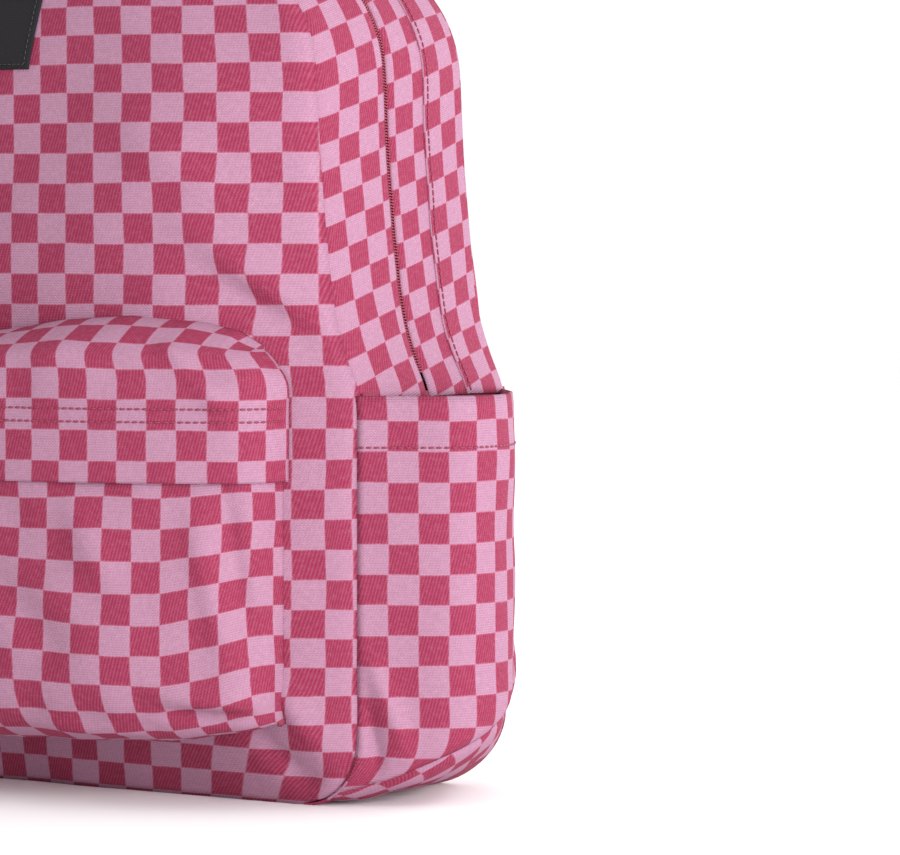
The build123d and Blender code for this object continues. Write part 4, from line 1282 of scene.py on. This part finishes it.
inner = through(*STRAP_ARC, 60)
along = run_along(inner)
strap_half = np.interp(along, (0, along[-1] - 60 * MM, along[-1]), (STRAP_HALF, STRAP_HALF, 17 * MM))
thin = np.interp(along, (0, 26 * MM), (0.3, 1.0))
ring = rounded(2.0, 1.0, 0.34, 5)
for side, name in ((-1, "left"), (1, "right")):
    verts = []
    for (y, q), half, full in zip(inner, strap_half, thin):
        yqw = at(y + STRAP * full * (0.5 + ring[:, 1] * 0.80), q, ring[:, 0] * half)
        verts.append(strap_place(side, yqw)[0])
    n, k = len(ring), len(inner)
    faces = [(r * n + c, r * n + (c + 1) % n, (r + 1) * n + (c + 1) % n, (r + 1) * n + c)
             for r in range(k - 1) for c in range(n)]
    faces += [tuple(range(n)), tuple(range((k - 1) * n, k * n))]
    block = solid(f"strap_{name}", np.concatenate(verts).tolist(), faces)
    strap = stuffed(f"shoulder_strap_{name}_cloth", block, 3.4 * MM, 2.5 * MM)
    place = coords(strap.data)
    across = strap_place(side, np.zeros((1, 3)))[1]
    up = np.array((-side * sin(STRAP_LEAN), 0, cos(STRAP_LEAN)))
    offset = place - STRAP_TOP * (side, 1, 1)
    w, q = offset @ across, offset @ up
    layer = strap.data.uv_layers.new(name="cloth")
    corner_at = np.zeros(len(strap.data.loops), int)
    strap.data.loops.foreach_get("vertex_index", corner_at)
    layer.data.foreach_set("uv", at(w, q * 1.03)[corner_at].ravel())
    strap.data.materials.append(canvas)
    strap.data.materials.append(pad_mesh)
    facing = np.zeros(len(strap.data.polygons) * 3)
    strap.data.polygons.foreach_get("normal", facing)
    inwards = facing.reshape(-1, 3)[:, 1] < -0.35
    strap.data.polygons.foreach_set("material_index", inwards.astype(int))
    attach(strap, f"strap_{name}")
    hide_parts(f"shoulder_strap_{name}")
    bound_half = strap_half - 1.4 * MM
    edges = [strap_place(side, at(inner[:, 0] + STRAP / 2 * thin, inner[:, 1], s * bound_half))[0]
             for s in (-1, 1)]
    tube = tube_tree(f"binding_{name}", plain_canvas, 2.1 * MM)
    bound = along_paths(f"strap_binding_{name}", edges, tube)
    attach(bound, f"strap_{name}")
    face = inner[:, 0] + STRAP * 0.97 * thin + 0.2 * MM
    rows = [strap_place(side, at(face, inner[:, 1], s * (strap_half - 6.5 * MM)))[0][2:-2]
            for s in (-1, 1)]
    strap_stitches = along_paths(f"strap_stitches_{name}", rows, stitches)
    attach(strap_stitches, f"strap_{name}")
    webbed = inner[32:] + (STRAP + 0.9 * MM, 0)
    route = np.concatenate([webbed, ROUND_LOCK])
    path, across = strap_path(side, route, 140, 6)
    tab, flat = ribbon(f"strap_tab_{name}_webbing", path, -across, WEBBING, WEBBING_THICK)
    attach(tab, f"strap_{name}")
    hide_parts(f"strap_tab_{name}")
    path, across = strap_path(side, FREE_END, 80, 6)
    tail, flat = ribbon(f"strap_tail_{name}", path, -across, WEBBING, WEBBING_THICK)
    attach(tail, f"strap_{name}")
    path, across = strap_path(side, WING_TO_LOCK, 120, 8)
    strip, flat = ribbon(f"adjuster_webbing_{name}_tape", path, across, WEBBING, WEBBING_THICK)
    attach(strip, f"webbing_{name}")
    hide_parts(f"adjuster_webbing_{name}")
    edge_x, tip_x = side * WING_SEAM, side * WING_TIP
    a, b = np.meshgrid(np.linspace(0, 1, 24), np.linspace(0, 1, 24))
    top_z = WING_TIP_TOP + (WING_SEAM_TOP - WING_TIP_TOP) * a
    x, z = tip_x + (edge_x - tip_x) * a, WING_FOOT + (top_z - WING_FOOT) * b
    points = at(x, 58.6 * MM + 0.5 * MM * (1 - (2 * a - 1) ** 4), z)
    flat = at(np.abs(x), z)
    if side > 0:
        points, flat = points[:, ::-1], flat[:, ::-1]
    wing = cloth(f"anchor_wing_{name}_cloth", points[::-1], flat[::-1], 1.3 * MM, plain_canvas)
    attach(wing, "bag")
    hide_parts(f"anchor_wing_{name}")
    box = np.array([(2, 3), (22, 3), (22, 17), (2, 17), (2, 3), (22, 17)]) * MM
    path = at(tip_x + side * box[:, 0], 59.3 * MM, WING_FOOT + box[:, 1])
    cross = along_paths(f"wing_stitches_{name}", [evenly(path, 60)], stitches)
    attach(cross, "bag")

# ---- Camera, floor and light -----------------------------------------------------------------

AZIMUTH = radians(35)
ELEVATION = radians(2.5)
DISTANCE = 2.2
LENS = 192.0
AIM_ACROSS = 0.1404
AIM_Z = 0.1587

aim = Vector((cos(AZIMUTH) * AIM_ACROSS, sin(AZIMUTH) * AIM_ACROSS, AIM_Z))
towards = Vector((sin(AZIMUTH) * cos(ELEVATION), -cos(AZIMUTH) * cos(ELEVATION), sin(ELEVATION)))
lens = bpy.data.cameras.new("camera")
lens.lens = LENS
lens.sensor_width = 36.0
lens.clip_end = 50.0
camera = bpy.data.objects.new("camera", lens)
camera.location = aim + towards * DISTANCE
camera.rotation_euler = towards.to_track_quat("Z", "Y").to_euler()
bpy.context.scene.collection.objects.link(camera)
bpy.context.scene.camera = camera

floor_mesh = bpy.data.meshes.new("floor")
floor_mesh.from_pydata([(-6, -6, 0), (6, -6, 0), (6, 6, 0), (-6, 6, 0)], [], [(0, 1, 2, 3)])
floor = bpy.data.objects.new("floor", floor_mesh)
bpy.context.scene.collection.objects.link(floor)
paper = Finish("floor_paper", Base_Color=(0.98, 0.98, 0.98, 1), Roughness=0.9)
floor_mesh.materials.append(paper.material)

bpy.context.scene.view_settings.view_transform = "Standard"
world = bpy.data.worlds.new("studio")
world.use_nodes = True
world.node_tree.nodes["Background"].inputs[0].default_value = (1.0, 1.0, 1.0, 1)
world.node_tree.nodes["Background"].inputs[1].default_value = 1.03
bpy.context.scene.world = world

LIGHTS = (
    ("key", (2.9, -0.7, 0.7), 1.2, 86.0),
    ("rim", (1.6, 1.8, 1.8), 1.2, 5.0),
    ("back", (0.3, 2.9, 1.3), 1.4, 36.0),
)
for name, place, size, power in LIGHTS:
    lamp = bpy.data.lights.new(name, "AREA")
    lamp.size = size
    lamp.energy = power
    stand = bpy.data.objects.new(name, lamp)
    stand.location = place
    stand.rotation_euler = (Vector(place) - Vector((0, 0, 0.2))).to_track_quat("Z", "Y").to_euler()
    bpy.context.scene.collection.objects.link(stand)
